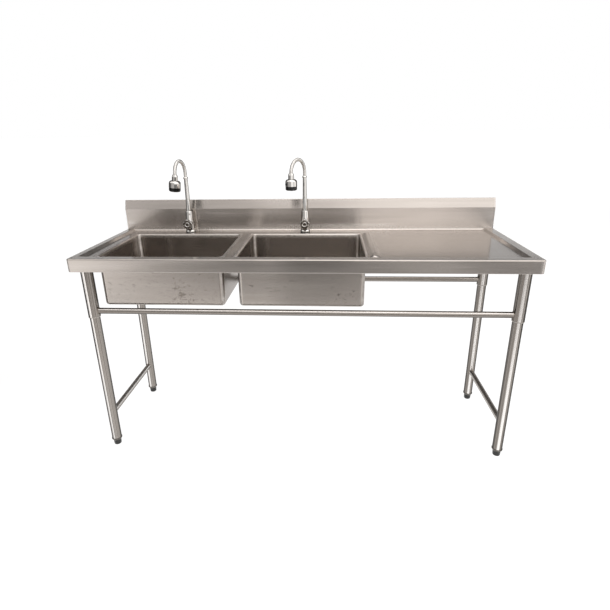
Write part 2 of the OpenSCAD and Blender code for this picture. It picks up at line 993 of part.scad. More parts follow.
// The rigid riser, with the spigot that turns in the tap body
module spout_riser(i) {
    color(chrome)
        at_tap(i)
            difference() {
                union() {
                    translate([0, 0, tap_h - socket_l + 2])
                        cylinder(h = socket_l - 2 + cut, d = spigot_d);
                    translate([0, 0, tap_h])
                        cylinder(h = riser_l, d1 = riser_d, d2 = riser_top_d);
                }
                translate([0, 0, tap_h - socket_l])
                    cylinder(h = socket_l + riser_l + 2 * cut, d = water_d);
                ring(
                    spigot_d + 2 * cut, groove_d,
                    set_screw_z - groove_w / 2, set_screw_z + groove_w / 2
                );
            }
}

module spout_seals() {
    color(rubber)
        for (i = [0, 1])
            at_tap(i)
                translate([0, 0, seal_z])
                    rotate_extrude()
                        translate([socket_d / 2 + seal_d / 2, 0])
                            circle(d = seal_d, $fn = 24);
}

// The set screw whose tip runs in the spigot's groove and holds the spout
module spout_screws() {
    tip = groove_d / 2 + 0.3;
    color(bright_steel)
        for (i = [0, 1])
            at_tap(i)
                rotate([0, 0, -screw_turn[i]])
                    translate([0, -tip, set_screw_z])
                        rotate([90, 0, 0])
                            difference() {
                                cylinder(h = tap_top_d / 2 - tip - 0.2, d = set_screw_d);
                                translate([0, 0, tap_top_d / 2 - tip - 3])
                                    cylinder(h = 3 + cut, d = 3.4, $fn = 6);
                            }
}

// The collar between the riser and the flexible neck
module spout_ring(i) {
    color(chrome)
        at_tap(i)
            translate([0, 0, tap_h + riser_l])
                rotate_extrude()
                    polygon([
                        [neck_d / 2 + slip, 0],
                        [ring_d / 2 - 2, 0],
                        [ring_d / 2, 2],
                        [ring_d / 2, ring_h - 3],
                        [ring_d / 2 - 2, ring_h],
                        [neck_d / 2 + slip, ring_h]
                    ]);
}

// The flexible neck's section
module neck_section() {
    difference() {
        circle(d = neck_d);
        circle(d = neck_bore);
    }
}

// The flexible neck: up, over in a half circle and down into the collar nut
module flexible_neck(i) {
    color(chrome)
        at_spout(i) {
            translate([0, 0, tap_h + riser_l])
                linear_extrude(neck_rise)
                    neck_section();
            translate([0, -neck_r, bend_z])
                rotate([90, 0, -90])
                    rotate_extrude(angle = 180)
                        translate([neck_r, 0])
                            neck_section();
            translate([0, -2 * neck_r, bend_z - neck_tail])
                linear_extrude(neck_tail)
                    neck_section();
        }
}

// The collar nut that joins the spray head to the neck, with the play in
// its mouth that lets the head lean
module head_nut(i) {
    color(chrome)
        at_head(i)
            rotate_extrude()
                polygon([
                    [neck_d / 2 + nut_play, nut_top],
                    [nut_neck_d / 2, nut_top],
                    [nut_d / 2, nut_top - 9],
                    [nut_d / 2, -head_z],
                    [neck_bore / 2, -head_z],
                    [neck_bore / 2, -neck_tail - nut_seat],
                    [neck_d / 2 + nut_play, -neck_tail - nut_seat]
                ]);
}

module spray_head(i) {
    bottom = head_z + head_h - face_h;
    r = head_d / 2;
    color(chrome)
        at_head(i)
            difference() {
                rotate_extrude()
                    difference() {
                        polygon([
                            [0, -head_z],
                            [nut_d / 2 + 0.5, -head_z],
                            [nut_d / 2 + 0.5, -head_z - 1],
                            [r, -head_z - 1],
                            [r, -bottom],
                            [0, -bottom]
                        ]);
                        translate([r - head_shoulder, -head_z - 1 - head_shoulder])
                            difference() {
                                square(head_shoulder + cut);
                                circle(r = head_shoulder);
                            }
                    }
                rotate([0, 0, -head_turn[i]])
                    translate([0, -r + button_l + 0.5, -button_z])
                        rotate([90, 0, 0])
                            cylinder(h = button_l + 2 * cut, d = button_d + 2 * slip);
            }
}

// The spray face: a glossy ring with rings of nozzles and a centre boss
module spray_face(i) {
    top = head_z + head_h - face_h;
    bottom = head_z + head_h;
    r = head_d / 2 - 0.5;
    rings = [[8, 0.3], [14, 0.52], [20, 0.74]];
    color(black_plastic)
        at_head(i)
            difference() {
                rotate_extrude()
                    polygon([
                        [0, -top],
                        [r, -top],
                        [r, -bottom + 7],
                        [r - 2, -bottom + 4],
                        [r * 0.82, -bottom + 2.4],
                        [r * 0.2, -bottom + 1.6],
                        [r * 0.2, -bottom],
                        [0, -bottom]
                    ]);
                for (n = rings, k = [0 : n[0] - 1])
                    rotate([0, 0, k * 360 / n[0]])
                        translate([r * n[1], 0, -bottom - cut])
                            cylinder(h = hole_h + 2 + cut, d = hole_d, $fn = 16);
            }
}

module spray_button(i) {
    color(black_plastic)
        at_head(i)
            rotate([0, 0, -head_turn[i]])
                translate([0, -head_d / 2 + button_l - button_travel, -button_z])
                    rotate([90, 0, 0])
                        rotate_extrude()
                            polygon([
                                [0, 0],
                                [button_d / 2, 0],
                                [button_d / 2, button_l - button_travel + button_out - 1],
                                [button_d / 2 - 1, button_l - button_travel + button_out],
                                [0, button_l - button_travel + button_out]
                            ]);
}

// Places what belongs to a waste on its bowl's axis
module at_waste(i) {
    translate([bowl_x[i], bowl_y, 0])
        children();
}

// The waste's cup: a flange in the bowl's recess, a threaded cup and the
// outlet, with a spider that guides the basket's pin
module strainer_cup(i) {
    r = waste_cup_d / 2;
    out_r = outlet_d / 2;
    out_wall = 1.5;
    color(bright_steel)
        at_waste(i)
            difference() {
                union() {
                    rotate_extrude()
                        polygon([
                            [out_r - out_wall, cup_z - outlet_l],
                            [out_r, cup_z - outlet_l],
                            [out_r, cup_z],
                            [r, cup_z],
                            [r, cup_top],
                            [waste_flange_d / 2, cup_top],
                            [waste_flange_d / 2, cup_top + 1],
                            [waste_flange_d / 2 - 2, cup_top + waste_flange_h],
                            [r - cup_wall + 1, cup_top + waste_flange_h],
                            [r - cup_wall, cup_top + waste_flange_h - 1],
                            [r - cup_wall, cup_z + cup_wall],
                            [out_r - out_wall, cup_z + cup_wall]
                        ]);
                    translate([0, 0, cup_z])
                        cylinder(h = cup_wall, d = hub_d);
                    for (a = [0, 90])
                        rotate([0, 0, a])
                            translate([-out_r, -spider_w / 2, cup_z])
                                cube([2 * out_r, spider_w, cup_wall]);
                }
                translate([0, 0, cup_z - cut])
                    cylinder(h = cup_wall + 2 * cut, d = pin_d + 2 * slip);
            }
}

// The lift-out basket: a perforated cup on its pin, with a ball to lift it
module strainer_basket(i) {
    low = basket_low_d / 2;
    high = basket_top_d / 2;
    top = basket_floor + basket_h;
    color(bright_steel)
        at_waste(i) {
            difference() {
                rotate_extrude()
                    polygon([
                        [0, basket_floor],
                        [low, basket_floor],
                        [high, top - basket_t],
                        [basket_rim_d / 2, top - basket_t],
                        [basket_rim_d / 2, top],
                        [high - basket_t, top],
                        [low - basket_t, basket_floor + basket_t],
                        [0, basket_floor + basket_t]
                    ]);
                for (k = [0 : basket_slots - 1])
                    rotate([0, 0, k * 360 / basket_slots])
                        translate([low - 6, -slot_w / 2, basket_floor + 7])
                            cube([high, slot_w, basket_h - 13]);
                for (k = [0 : 11])
                    rotate([0, 0, k * 30])
                        translate([low * 0.68, 0, basket_floor - cut])
                            cylinder(h = basket_t + 2 * cut, d = slot_w);
            }
            translate([0, 0, cup_z - 6])
                cylinder(h = basket_floor - cup_z + 6.5, d = pin_d);
            translate([0, 0, basket_floor])
                cylinder(h = basket_h - 8, d = post_d);
            translate([0, 0, basket_floor + basket_h - 8])
                sphere(d = knob_ball_d);
        }
}

module basket_stopper(i) {
    color(rubber)
        at_waste(i)
            ring(stopper_d, pin_d + 2 * slip, cup_z + cup_wall, basket_floor);
}

module waste_gaskets() {
    color(rubber)
        for (i = [0, 1])
            at_waste(i)
                ring(waste_flange_d, waste_cup_d + washer_gap, recess_under - waste_gasket_h, recess_under);
}

// The ring nut below each bowl, with grips round its edge
module waste_lock_nuts() {
    top = recess_under - waste_gasket_h;
    color(grey_plastic)
        for (i = [0, 1])
            at_waste(i)
                difference() {
                    union() {
                        ring(lock_nut_d, waste_cup_d + 2 * slip, top - 4, top);
                        ring(lock_nut_d - 10, waste_cup_d + 2 * slip, top - lock_nut_h, top - 3);
                        for (k = [0 : lock_nut_grips - 1])
                            rotate([0, 0, k * 360 / lock_nut_grips])
                                translate([waste_cup_d / 2 + 3, -3, top - lock_nut_h])
                                    cube([lock_nut_d / 2 - waste_cup_d / 2 - 4, 6, lock_nut_h - 2]);
                    }
                    translate([0, 0, top - lock_nut_h - cut])
                        cylinder(h = lock_nut_h + 2 * cut, d = waste_cup_d + 2 * slip);
                }
}

worktop();
rear_apron();
bowl(0);  // left_bowl
bowl(1);  // right_bowl
leg_channel(-1);  // left_leg_channel
leg_channel(1);  // right_leg_channel
drainboard_stiffeners();
sleeve(-1, 0);  // sleeve_front_left
sleeve(1, 0);  // sleeve_front_right
sleeve(-1, 1);  // sleeve_rear_left
sleeve(1, 1);  // sleeve_rear_right
rail(0);  // front_rail
rail(1);  // rear_rail
leg_grub_screws();
leg(-1, 0);  // leg_front_left
leg(1, 0);  // leg_front_right
leg(-1, 1);  // leg_rear_left
leg(1, 1);  // leg_rear_right
brace(-1);  // left_brace
brace(1);  // right_brace
foot_inserts();
foot(-1, 0);  // foot_front_left
foot(1, 0);  // foot_front_right
foot(-1, 1);  // foot_rear_left
foot(1, 1);  // foot_rear_right
tap_gaskets();
tap_washers();
tap_back_nuts();
valve_cartridges();
spout_screws();
spout_seals();
tap_body(0);  // left_tap_body
valve_spindle(0);  // left_valve_spindle
tap_knob(0);  // left_tap_knob
spout_riser(0);  // left_spout_riser
spout_ring(0);  // left_spout_ring
flexible_neck(0);  // left_flexible_neck
head_nut(0);  // left_head_nut
spray_head(0);  // left_spray_head
spray_face(0);  // left_spray_face
spray_button(0);  // left_spray_button
tap_body(1);  // right_tap_body
valve_spindle(1);  // right_valve_spindle
tap_knob(1);  // right_tap_knob
spout_riser(1);  // right_spout_riser
spout_ring(1);  // right_spout_ring
flexible_neck(1);  // right_flexible_neck
head_nut(1);  // right_head_nut
spray_head(1);  // right_spray_head
spray_face(1);  // right_spray_face
spray_button(1);  // right_spray_button
strainer_cup(0);  // left_strainer_cup
strainer_basket(0);  // left_strainer_basket
basket_stopper(0);  // left_basket_stopper
strainer_cup(1);  // right_strainer_cup
strainer_basket(1);  // right_strainer_basket
basket_stopper(1);  // right_basket_stopper
waste_gaskets();
waste_lock_nuts();
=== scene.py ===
import math

import bmesh
import bpy
import numpy as np
from bpy.props import FloatProperty, FloatVectorProperty, PointerProperty
from mathutils import Matrix, Vector


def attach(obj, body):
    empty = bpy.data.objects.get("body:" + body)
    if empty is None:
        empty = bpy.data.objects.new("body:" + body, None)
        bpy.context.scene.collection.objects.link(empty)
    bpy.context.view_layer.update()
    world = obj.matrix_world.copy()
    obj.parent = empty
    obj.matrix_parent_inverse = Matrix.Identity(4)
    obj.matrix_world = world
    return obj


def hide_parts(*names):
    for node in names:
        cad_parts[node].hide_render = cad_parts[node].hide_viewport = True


bl_info = {
    "name": "Pot sink looks",
    "version": (1, 0, 0),
    "blender": (4, 5, 0),
    "location": "View3D > Sidebar > Pot Sink",
    "description": "Finishes and fine detail of a double-bowl pot sink on its stand",
    "category": "Object",
}

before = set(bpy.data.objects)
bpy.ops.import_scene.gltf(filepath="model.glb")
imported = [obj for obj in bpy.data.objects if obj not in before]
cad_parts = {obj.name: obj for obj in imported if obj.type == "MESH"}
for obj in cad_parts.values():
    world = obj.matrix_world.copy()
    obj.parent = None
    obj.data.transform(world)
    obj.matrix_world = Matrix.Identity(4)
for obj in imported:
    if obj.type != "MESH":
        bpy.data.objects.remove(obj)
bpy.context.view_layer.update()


def linear(colour):
    """Turns an sRGB hex colour into the linear RGBA that a node takes. A colour from the
    settings is linear already and is passed on."""
    if not isinstance(colour, str):
        return tuple(colour)
    parts = [int(colour[i:i + 2], 16) / 255 for i in (1, 3, 5)]
    parts = [c / 12.92 if c <= 0.04045 else ((c + 0.055) / 1.055) ** 2.4 for c in parts]
    return (*parts, 1.0)


def add(tree, kind, inputs=None, **settings):
    """Adds a node with its settings. Each entry of inputs sets one of its sockets, or links
    it where the entry is a socket itself."""
    made = tree.nodes.new(kind)
    for name, value in settings.items():
        setattr(made, name, value)
    for name, value in (inputs or {}).items():
        if isinstance(value, bpy.types.NodeSocket):
            tree.links.new(value, made.inputs[name])
        else:
            made.inputs[name].default_value = value
    return made


def ramp(tree, factor, stops):
    """Adds a colour ramp with stops of (place, hex colour) and returns its colour."""
    made = add(tree, "ShaderNodeValToRGB", {"Fac": factor})
    elements = made.color_ramp.elements
    while len(elements) < len(stops):
        elements.new(0.5)
    for element, (place, colour) in zip(elements, stops):
        element.position = place
        element.color = linear(colour)
    return made.outputs["Color"]


def material(name):
    """Starts a material and returns it with its tree and its Principled shader."""
    made = bpy.data.materials.new(name)
    made.use_nodes = True
    tree = made.node_tree
    return made, tree, tree.nodes["Principled BSDF"]


# ---- finishes


def stretched_noise(tree, scale, detail=3.0, roughness=0.55, place=None):
    """Noise with scale as lines per metre along X, Y and Z, on Object coordinates where no
    other place is given."""
    if place is None:
        place = add(tree, "ShaderNodeTexCoord").outputs["Object"]
    spot = add(tree, "ShaderNodeMapping", {"Vector": place, "Scale": scale}).outputs["Vector"]
    noise = add(tree, "ShaderNodeTexNoise", {
        "Vector": spot, "Scale": 1.0, "Detail": detail, "Roughness": roughness})
    return noise.outputs["Fac"]


def metal(name, light, dark, roughness, grain, grain_depth, spread=0.08):
    """Bare metal: two close tones in broad patches, a grain of fine lines that bumps the
    surface, and a roughness that wanders a little round its middle value."""
    made, tree, shader = material(name)
    shader.inputs["Metallic"].default_value = 1.0
    broad = stretched_noise(tree, (2.0, 2.0, 2.0), 2.0)
    tree.links.new(ramp(tree, broad, [(0.3, dark), (0.7, light)]), shader.inputs["Base Color"])
    fine = stretched_noise(tree, grain, 2.0, 0.7)
    rough = add(tree, "ShaderNodeMapRange", {
        "Value": fine, "From Min": 0.3, "From Max": 0.7,
        "To Min": roughness - spread, "To Max": roughness + spread})
    tree.links.new(rough.outputs["Result"], shader.inputs["Roughness"])
    if grain_depth:
        bump = add(tree, "ShaderNodeBump", {"Height": fine, "Distance": grain_depth})
        tree.links.new(bump.outputs["Normal"], shader.inputs["Normal"])
    return made


def summed(tree, value, *parts):
    """A value plus a share of each field, for parts of (field, share)."""
    for field, share in parts:
        value = add(tree, "ShaderNodeMath", {0: field, 1: share, 2: value},
                    operation="MULTIPLY_ADD").outputs[0]
    return value


def scuffed(tree, colour, centre, reach):
    """Dull smudges that handling leaves round one spot, thicker towards its middle."""
    place = add(tree, "ShaderNodeTexCoord").outputs["Object"]
    far = add(tree, "ShaderNodeVectorMath", {0: place, 1: centre}, operation="DISTANCE")
    near = add(tree, "ShaderNodeMapRange", {
        "Value": far.outputs["Value"], "From Min": reach, "From Max": 0.0,
        "To Max": 0.15}).outputs["Result"]
    smear = stretched_noise(tree, (60, 60, 90), 4.0, 0.65)
    both = add(tree, "ShaderNodeMath", {0: smear, 1: near}, operation="ADD").outputs[0]
    dull = ramp(tree, both, [(0.6, "#FFFFFF"), (0.74, "#C6C2BE")])
    mixed = add(tree, "ShaderNodeMix", {"Factor": 1.0, "A": colour, "B": dull},
                data_type="RGBA", blend_type="MULTIPLY")
    return mixed.outputs["Result"]


# How strongly a ground metal blurs its mirror images one way, and the quarter turn that lays
# this blur across its grain
STRETCH, ACROSS = 0.9, 0.25


def grained_metal(name, **direction):
    """Starts a metal that blurs its mirror images across its grain. The settings of its
    Tangent node give the grain's direction."""
    made, tree, shader = material(name)
    shader.inputs["Metallic"].default_value = 1.0
    shader.inputs["Anisotropic"].default_value = STRETCH
    shader.inputs["Anisotropic Rotation"].default_value = ACROSS
    tangent = add(tree, "ShaderNodeTangent", **direction)
    tree.links.new(tangent.outputs["Tangent"], shader.inputs["Tangent"])
    return made, tree, shader


def ground_sheet(name, light, dark, roughness, spread, grain_depth, wave_depth, scuff=None):
    """Sheet steel ground along its length. The grain follows the UVs of the piece, so mirror images
    blur across it and stay sharp along it. Broad, shallow waves are left by the press and the
    welding. Hand grinding crosses the grain near the welds. A field carried by the piece makes the
    sheet rougher where it was brushed, and lightens its colour there as a painted highlight."""
    made, tree, shader = grained_metal(name, direction_type="UV_MAP", uv_map="grain")
    uv = add(tree, "ShaderNodeUVMap", uv_map="grain").outputs["UV"]
    weld = add(tree, "ShaderNodeAttribute", attribute_name="weld").outputs["Fac"]
    # 0.15 mm scratches of the belt, drawn 1.5 mm wide and a hand long so that they show
    fine = stretched_noise(tree, (7, 650, 1), 2.0, 0.6, uv)
    # Soft pressure bands of the grinding belt, 40 mm wide
    bands = stretched_noise(tree, (1.5, 25, 1), 2.0, 0.5, uv)
    # Grinding marks of a hand-held disc beside the welds, 6 mm apart
    marks = stretched_noise(tree, (160, 160, 160), 3.0, 0.7)
    worn = add(tree, "ShaderNodeMath", {0: marks, 1: weld}, operation="MULTIPLY").outputs[0]
    mixed = add(tree, "ShaderNodeMath", {0: fine, 1: 0.45}, operation="MULTIPLY").outputs[0]
    mixed = summed(tree, mixed, (bands, 0.55))
    level = add(tree, "ShaderNodeMapRange", {
        "Value": mixed, "From Min": 0.3, "From Max": 0.7,
        "To Min": roughness - spread, "To Max": roughness + spread}).outputs["Result"]
    # Field of brushing and painted highlight: it makes the sheet rougher, and below it also
    # lightens the tone
    brush_and_sheen = add(tree, "ShaderNodeAttribute", attribute_name="brush_and_sheen").outputs["Fac"]
    rough = summed(tree, level, (brush_and_sheen, 0.14), (worn, 0.3))
    tree.links.new(rough, shader.inputs["Roughness"])
    # Painted highlight: the brushing field lightens the tone, up to the near-white last stop
    tone = summed(tree, bands, (worn, 0.5), (brush_and_sheen, 0.2))
    colour = ramp(tree, tone, [(0.3, dark), (0.7, light), (1.0, "#EDE9E5")])
    if scuff:
        colour = scuffed(tree, colour, *scuff)
    tree.links.new(colour, shader.inputs["Base Color"])
    wave = stretched_noise(tree, (3.2, 3.2, 5.0), 1.0)
    broad = add(tree, "ShaderNodeBump", {"Height": wave, "Distance": wave_depth})
    scratch = add(tree, "ShaderNodeBump", {
        "Height": fine, "Distance": grain_depth, "Normal": broad.outputs["Normal"]})
    tree.links.new(scratch.outputs["Normal"], shader.inputs["Normal"])
    return made


def painted_angle_shade(made, stops):
    """Multiplies a finish's colour by tones that go with the angle the eye meets it at, from square
    on (0) to edge on (1): painted reflection, darker where a mirror would show darker surroundings."""
    tree = made.node_tree
    colour = next(n for n in tree.nodes if n.type == "BSDF_PRINCIPLED").inputs["Base Color"]
    facing = add(tree, "ShaderNodeLayerWeight", {"Blend": 0.5}).outputs["Facing"]
    both = add(tree, "ShaderNodeMix", {
        "Factor": 1.0, "A": colour.links[0].from_socket, "B": ramp(tree, facing, stops),
    }, data_type="RGBA", blend_type="MULTIPLY")
    tree.links.new(both.outputs["Result"], colour)
    return made


def drawn_tube(name, light, axis, highlight_side, grazing):
    """Tube polished round its girth: mirror images blur along the tube and stay narrow across it.
    Broad light and dark lines along it are partly drawing lines and partly painted reflection, a
    painted highlight runs along one side, and painted reflection darkens it where the eye meets it
    at an angle past grazing."""
    made, tree, shader = grained_metal(name, direction_type="RADIAL", axis=axis)
    shader.inputs["Roughness"].default_value = 0.26
    # Drawing lines and painted reflection bands run the whole length of the tube, so they follow
    # its normal alone
    normal = add(tree, "ShaderNodeTexCoord").outputs["Normal"]
    lines_and_reflection = add(tree, "ShaderNodeTexNoise", {
        "Vector": normal, "Scale": 2.6, "Detail": 2.0, "Roughness": 0.6}).outputs["Fac"]
    # Painted highlight: a bright line along the side that faces the given direction
    towards = add(tree, "ShaderNodeVectorMath", {0: normal, 1: highlight_side},
                  operation="DOT_PRODUCT")
    painted_highlight = add(tree, "ShaderNodeMapRange", {
        "Value": towards.outputs["Value"], "From Min": 0.955, "From Max": 0.985,
        "To Max": 0.55}, interpolation_type="SMOOTHSTEP").outputs["Result"]
    level = add(tree, "ShaderNodeMath", {0: lines_and_reflection, 1: painted_highlight}, operation="ADD").outputs[0]
    tone = ramp(tree, level, [(0.36, "#6F6964"), (0.56, light), (0.9, "#F5F2EF")])
    tree.links.new(tone, shader.inputs["Base Color"])
    return painted_angle_shade(made, [
        (grazing, "#FFFFFF"), (grazing + 0.22, "#7A756F"), (min(1, grazing + 0.44), "#2E2A27")])


def plastic(name, light, dark, roughness, patch, bump_depth=0.0):
    """Moulded plastic or rubber: two close tones, a fine moulded texture."""
    made, tree, shader = material(name)
    broad = stretched_noise(tree, patch, 4.0)
    tree.links.new(ramp(tree, broad, [(0.3, dark), (0.7, light)]), shader.inputs["Base Color"])
    shader.inputs["Roughness"].default_value = roughness
    if bump_depth:
        bump = add(tree, "ShaderNodeBump", {"Height": broad, "Distance": bump_depth})
        tree.links.new(bump.outputs["Normal"], shader.inputs["Normal"])
    return made


FINISHES = {}


def finish(node, key):
    """Gives a CAD node's slots one finish."""
    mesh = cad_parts[node].data
    if not mesh.materials:
        mesh.materials.append(FINISHES[key])
    for i in range(len(mesh.materials)):
        mesh.materials[i] = FINISHES[key]


# ---- sizes of the sheet work

# Ends, front edge, splashback's face and back
END, FRONT, FACE, WALL = 0.9, -0.3, 0.28, 0.3
# Heights of the rim, the deck, the apron's foot and the bowls' upper edge
RIM, DECK, APRON, LIP = 0.9, 0.89, 0.847, 0.885
# The rim's inner edges, the slopes' width, and how far the slopes' soft ends reach
RIM_LEFT, RIM_RIGHT, RIM_FRONT, SLOPE, SOFT = -0.87, 0.86, -0.26, 0.013, 0.0025
# Sheet thickness, distance that counts as touching, softness of the mitres
SHEET, MERGE, MITRE = 0.0012, 2e-6, 0.003
# Radius of the rim's fold, of the upright corners, of the fold at the apron's foot, and
# the depth of its return
FOLD, TURN, HEM, RETURN = 0.005, 0.008, 0.0022, 0.012
# The same for the splashback: cove, crease, top, top fold, return at the back, and the
# points in half of its top fold
COVE, CREASE, TOP, TOP_FOLD, BACK_RETURN, ARC = 0.01, 0.998, 1.041, 0.003, 0.033, 7
# Where the rim's flat stops before the fold and before the upright corners
EDGE, CORNER, FRONT_CORNER = END - FOLD, END - FOLD - TURN, FRONT + FOLD + TURN
# Bowls: spans in X and Y, corner radius, lip's roll, floor, fillet, and the flat round them
BOWLS = {"left_bowl": (-0.813, -0.308), "right_bowl": (-0.247, 0.258)}
BOWL_Y, BOWL_TURN, LIP_ROLL = (-0.221, 0.191), 0.018, 0.005
BOWL_FLOOR, BOWL_FILLET, CELL, ROUND = 0.6812, 0.012, 0.008, 0.024
# The waste's recess: radius and height down its step
RECESS = ((0.0595, 0.6812), (0.0588, 0.6811), (0.0581, 0.6807), (0.0575, 0.68), (0.0571, 0.679),
          (0.0566, 0.6784), (0.0558, 0.6782), (0.045, 0.6782))
# Drip ridge: its long axis, height, foot and top edge, and the cell it stands in
RIDGE_X, RIDGE_Y, RIDGE_HIGH, RIDGE_FOOT, RIDGE_TOP = 0.294, (-0.221, 0.181), 0.008, 0.024, 0.01
RIDGE_CELL = ((0.266, 0.322), (-0.2465, 0.209))


# ---- sheets sewn from patches


class Skin:
    """One surface gathered from patches. Each patch is a grid of points with a length along and a
    length across the grain as its UVs, and two fields: how much of the weld's grinding each point
    got, and how much brushing and painted highlight."""

    def __init__(self):
        self.points, self.uvs, self.cells, self.count = [], [], [], 0
        self.weld, self.brush_and_sheen = [], []

    def patch(self, points, uvs, weld=0.0, keep=None, brush_and_sheen=0.0):
        """Adds rows and columns of points. Cells where keep is false are left out."""
        rows, columns = points.shape[:2]
        at = self.count + np.arange(rows * columns).reshape(rows, columns)
        cells = np.stack([at[:-1, :-1], at[:-1, 1:], at[1:, 1:], at[1:, :-1]], -1)
        self.cells.append(cells[keep] if keep is not None else cells.reshape(-1, 4))
        self.points.append(points.reshape(-1, 3))
        self.uvs.append(uvs.reshape(-1, 2))
        self.weld.append(np.broadcast_to(weld, (rows, columns)).ravel())
        self.brush_and_sheen.append(np.broadcast_to(brush_and_sheen, (rows, columns)).ravel())
        self.count += rows * columns

    def sew(self, name, key, thickness=0.0):
        """Merges the patches where they meet and turns the faces outwards. A sheet has its
        faces turned up and gets its thickness below them."""
        points, cells = np.concatenate(self.points), np.concatenate(self.cells)
        mesh = bpy.data.meshes.new(name)
        mesh.from_pydata(points.tolist(), [], cells.tolist())
        uvs = mesh.uv_layers.new(name="grain")
        corners = np.concatenate(self.uvs)[cells.ravel()]
        uvs.data.foreach_set("uv", corners.astype(np.float32).ravel())
        for field, values in (("weld", self.weld), ("brush_and_sheen", self.brush_and_sheen)):
            made = mesh.attributes.new(field, "FLOAT", "POINT")
            made.data.foreach_set("value", np.concatenate(values).astype(np.float32))
        made = bmesh.new()
        made.from_mesh(mesh)
        bmesh.ops.remove_doubles(made, verts=made.verts, dist=MERGE)
        bmesh.ops.dissolve_degenerate(made, edges=made.edges, dist=MERGE / 2)
        bmesh.ops.recalc_face_normals(made, faces=made.faces)
        made.to_mesh(mesh)
        made.free()
        normals, areas = np.empty(len(mesh.polygons) * 3), np.empty(len(mesh.polygons))
        mesh.polygons.foreach_get("normal", normals)
        mesh.polygons.foreach_get("area", areas)
        if thickness and (normals[2::3] * areas).sum() < 0:
            mesh.flip_normals()
        mesh.shade_smooth()
        mesh.materials.append(FINISHES[key])
        piece = bpy.data.objects.new(name, mesh)
        bpy.context.scene.collection.objects.link(piece)
        if thickness:
            piece.modifiers.new("wall", "SOLIDIFY").thickness = thickness
        piece.modifiers.new("flat faces stay flat", "WEIGHTED_NORMAL")
        return piece


def lines(*stops):
    """Grid lines from place to place. The stops are a place, the widest step on the way to
    the next place, that place, and so on."""
    runs = zip(stops[:-1:2], stops[1::2], stops[2::2])
    parts = [np.linspace(a, b, max(1, round((b - a) / step)) + 1) for a, step, b in runs]
    return np.unique(np.round(np.concatenate(parts), 6))


def lengths(points):
    """The length along a row of points from its first one."""
    steps = np.linalg.norm(np.diff(points, axis=0), axis=1)
    return np.concatenate([[0.0], np.cumsum(steps)])


def grid(along, across):
    """Two rows of lengths as one array of UVs, with along running over the columns."""
    return np.stack(np.broadcast_arrays(along[None, :], across[:, None]), -1)


def eased(distance, half=0.0015):
    """0 below -half, the distance above half, and a parabola between the two."""
    inner = np.clip(distance, -half, half)
    return np.where(distance > half, distance, (inner + half) ** 2 / (4 * half))


def drop(distance):
    """The height over the deck at a distance in from the rim's inner edge: the whole drop,
    less a straight ramp whose two ends are eased."""
    return (RIM - DECK) * (1 - (eased(distance) - eased(distance - SLOPE)) / SLOPE)


def deck_height(x, y):
    """The rim, slopes and deck as the higher of two folded profiles, one across the worktop
    and one from front to back, with a small parabola where the two slopes meet in a mitre."""
    ends = np.maximum(drop(x - RIM_LEFT), drop(RIM_RIGHT - x))
    front = drop(y - RIM_FRONT)
    high, low = np.maximum(ends, front), np.minimum(ends, front)
    near = np.clip(1 - (high - low) / MITRE, 0, 1)
    room = np.clip(np.minimum(low, RIM - DECK - high) / MITRE, 0, 1)
    return DECK + high + near ** 2 * room * MITRE / 4


def cell_edge(x, y):
    """The grid's points round a cell between two columns and two rows, closed."""
    xs = GRID_X[(GRID_X > x[0] - MERGE) & (GRID_X < x[1] + MERGE)]
    ys = GRID_Y[(GRID_Y > y[0] - MERGE) & (GRID_Y < y[1] + MERGE)]
    sides = [np.stack(np.broadcast_arrays(a, b), -1) for a, b in (
        (xs[:-1], y[0]), (x[1], ys[:-1]), (xs[:0:-1], y[1]), (x[0], ys[:0:-1]), (x[0], y[0]))]
    return np.concatenate([np.atleast_2d(s) for s in sides])


def from_core(points, low, high):
    """For points round a core rectangle, the nearest point of the core and the direction
    away from it."""
    base = np.clip(points, low, high)
    away = points - base
    return base, away / np.linalg.norm(away, axis=1)[:, None]


def round_bowl(x):
    """The points of a bowl's cell edge, with their nearest points on the core that the
    bowl's corner radius goes round, and the directions away from it."""
    edge = cell_edge((x[0] - CELL, x[1] + CELL), (BOWL_Y[0] - CELL, BOWL_Y[1] + CELL))
    low = np.array([x[0] + BOWL_TURN, BOWL_Y[0] + BOWL_TURN])
    high = np.array([x[1] - BOWL_TURN, BOWL_Y[1] - BOWL_TURN])
    return (edge, *from_core(edge, low, high))


def raised(plan, height):
    """Points in plan with a height as their third value."""
    return np.concatenate([plan, np.broadcast_to(height, plan.shape[:-1])[..., None]], -1)


def loops(base, away, reach, height):
    """Loops round a core, one for each reach and height."""
    return raised(base[None] + away[None] * reach[:, None, None], height[:, None])


def bend(centre, radius, start, end, count):
    """Points of an arc from one angle to another, in degrees."""
    a = np.radians(np.linspace(start, end, count))
    return np.stack([centre[0] + radius * np.cos(a), centre[1] + radius * np.sin(a)], -1)


# ---- settings


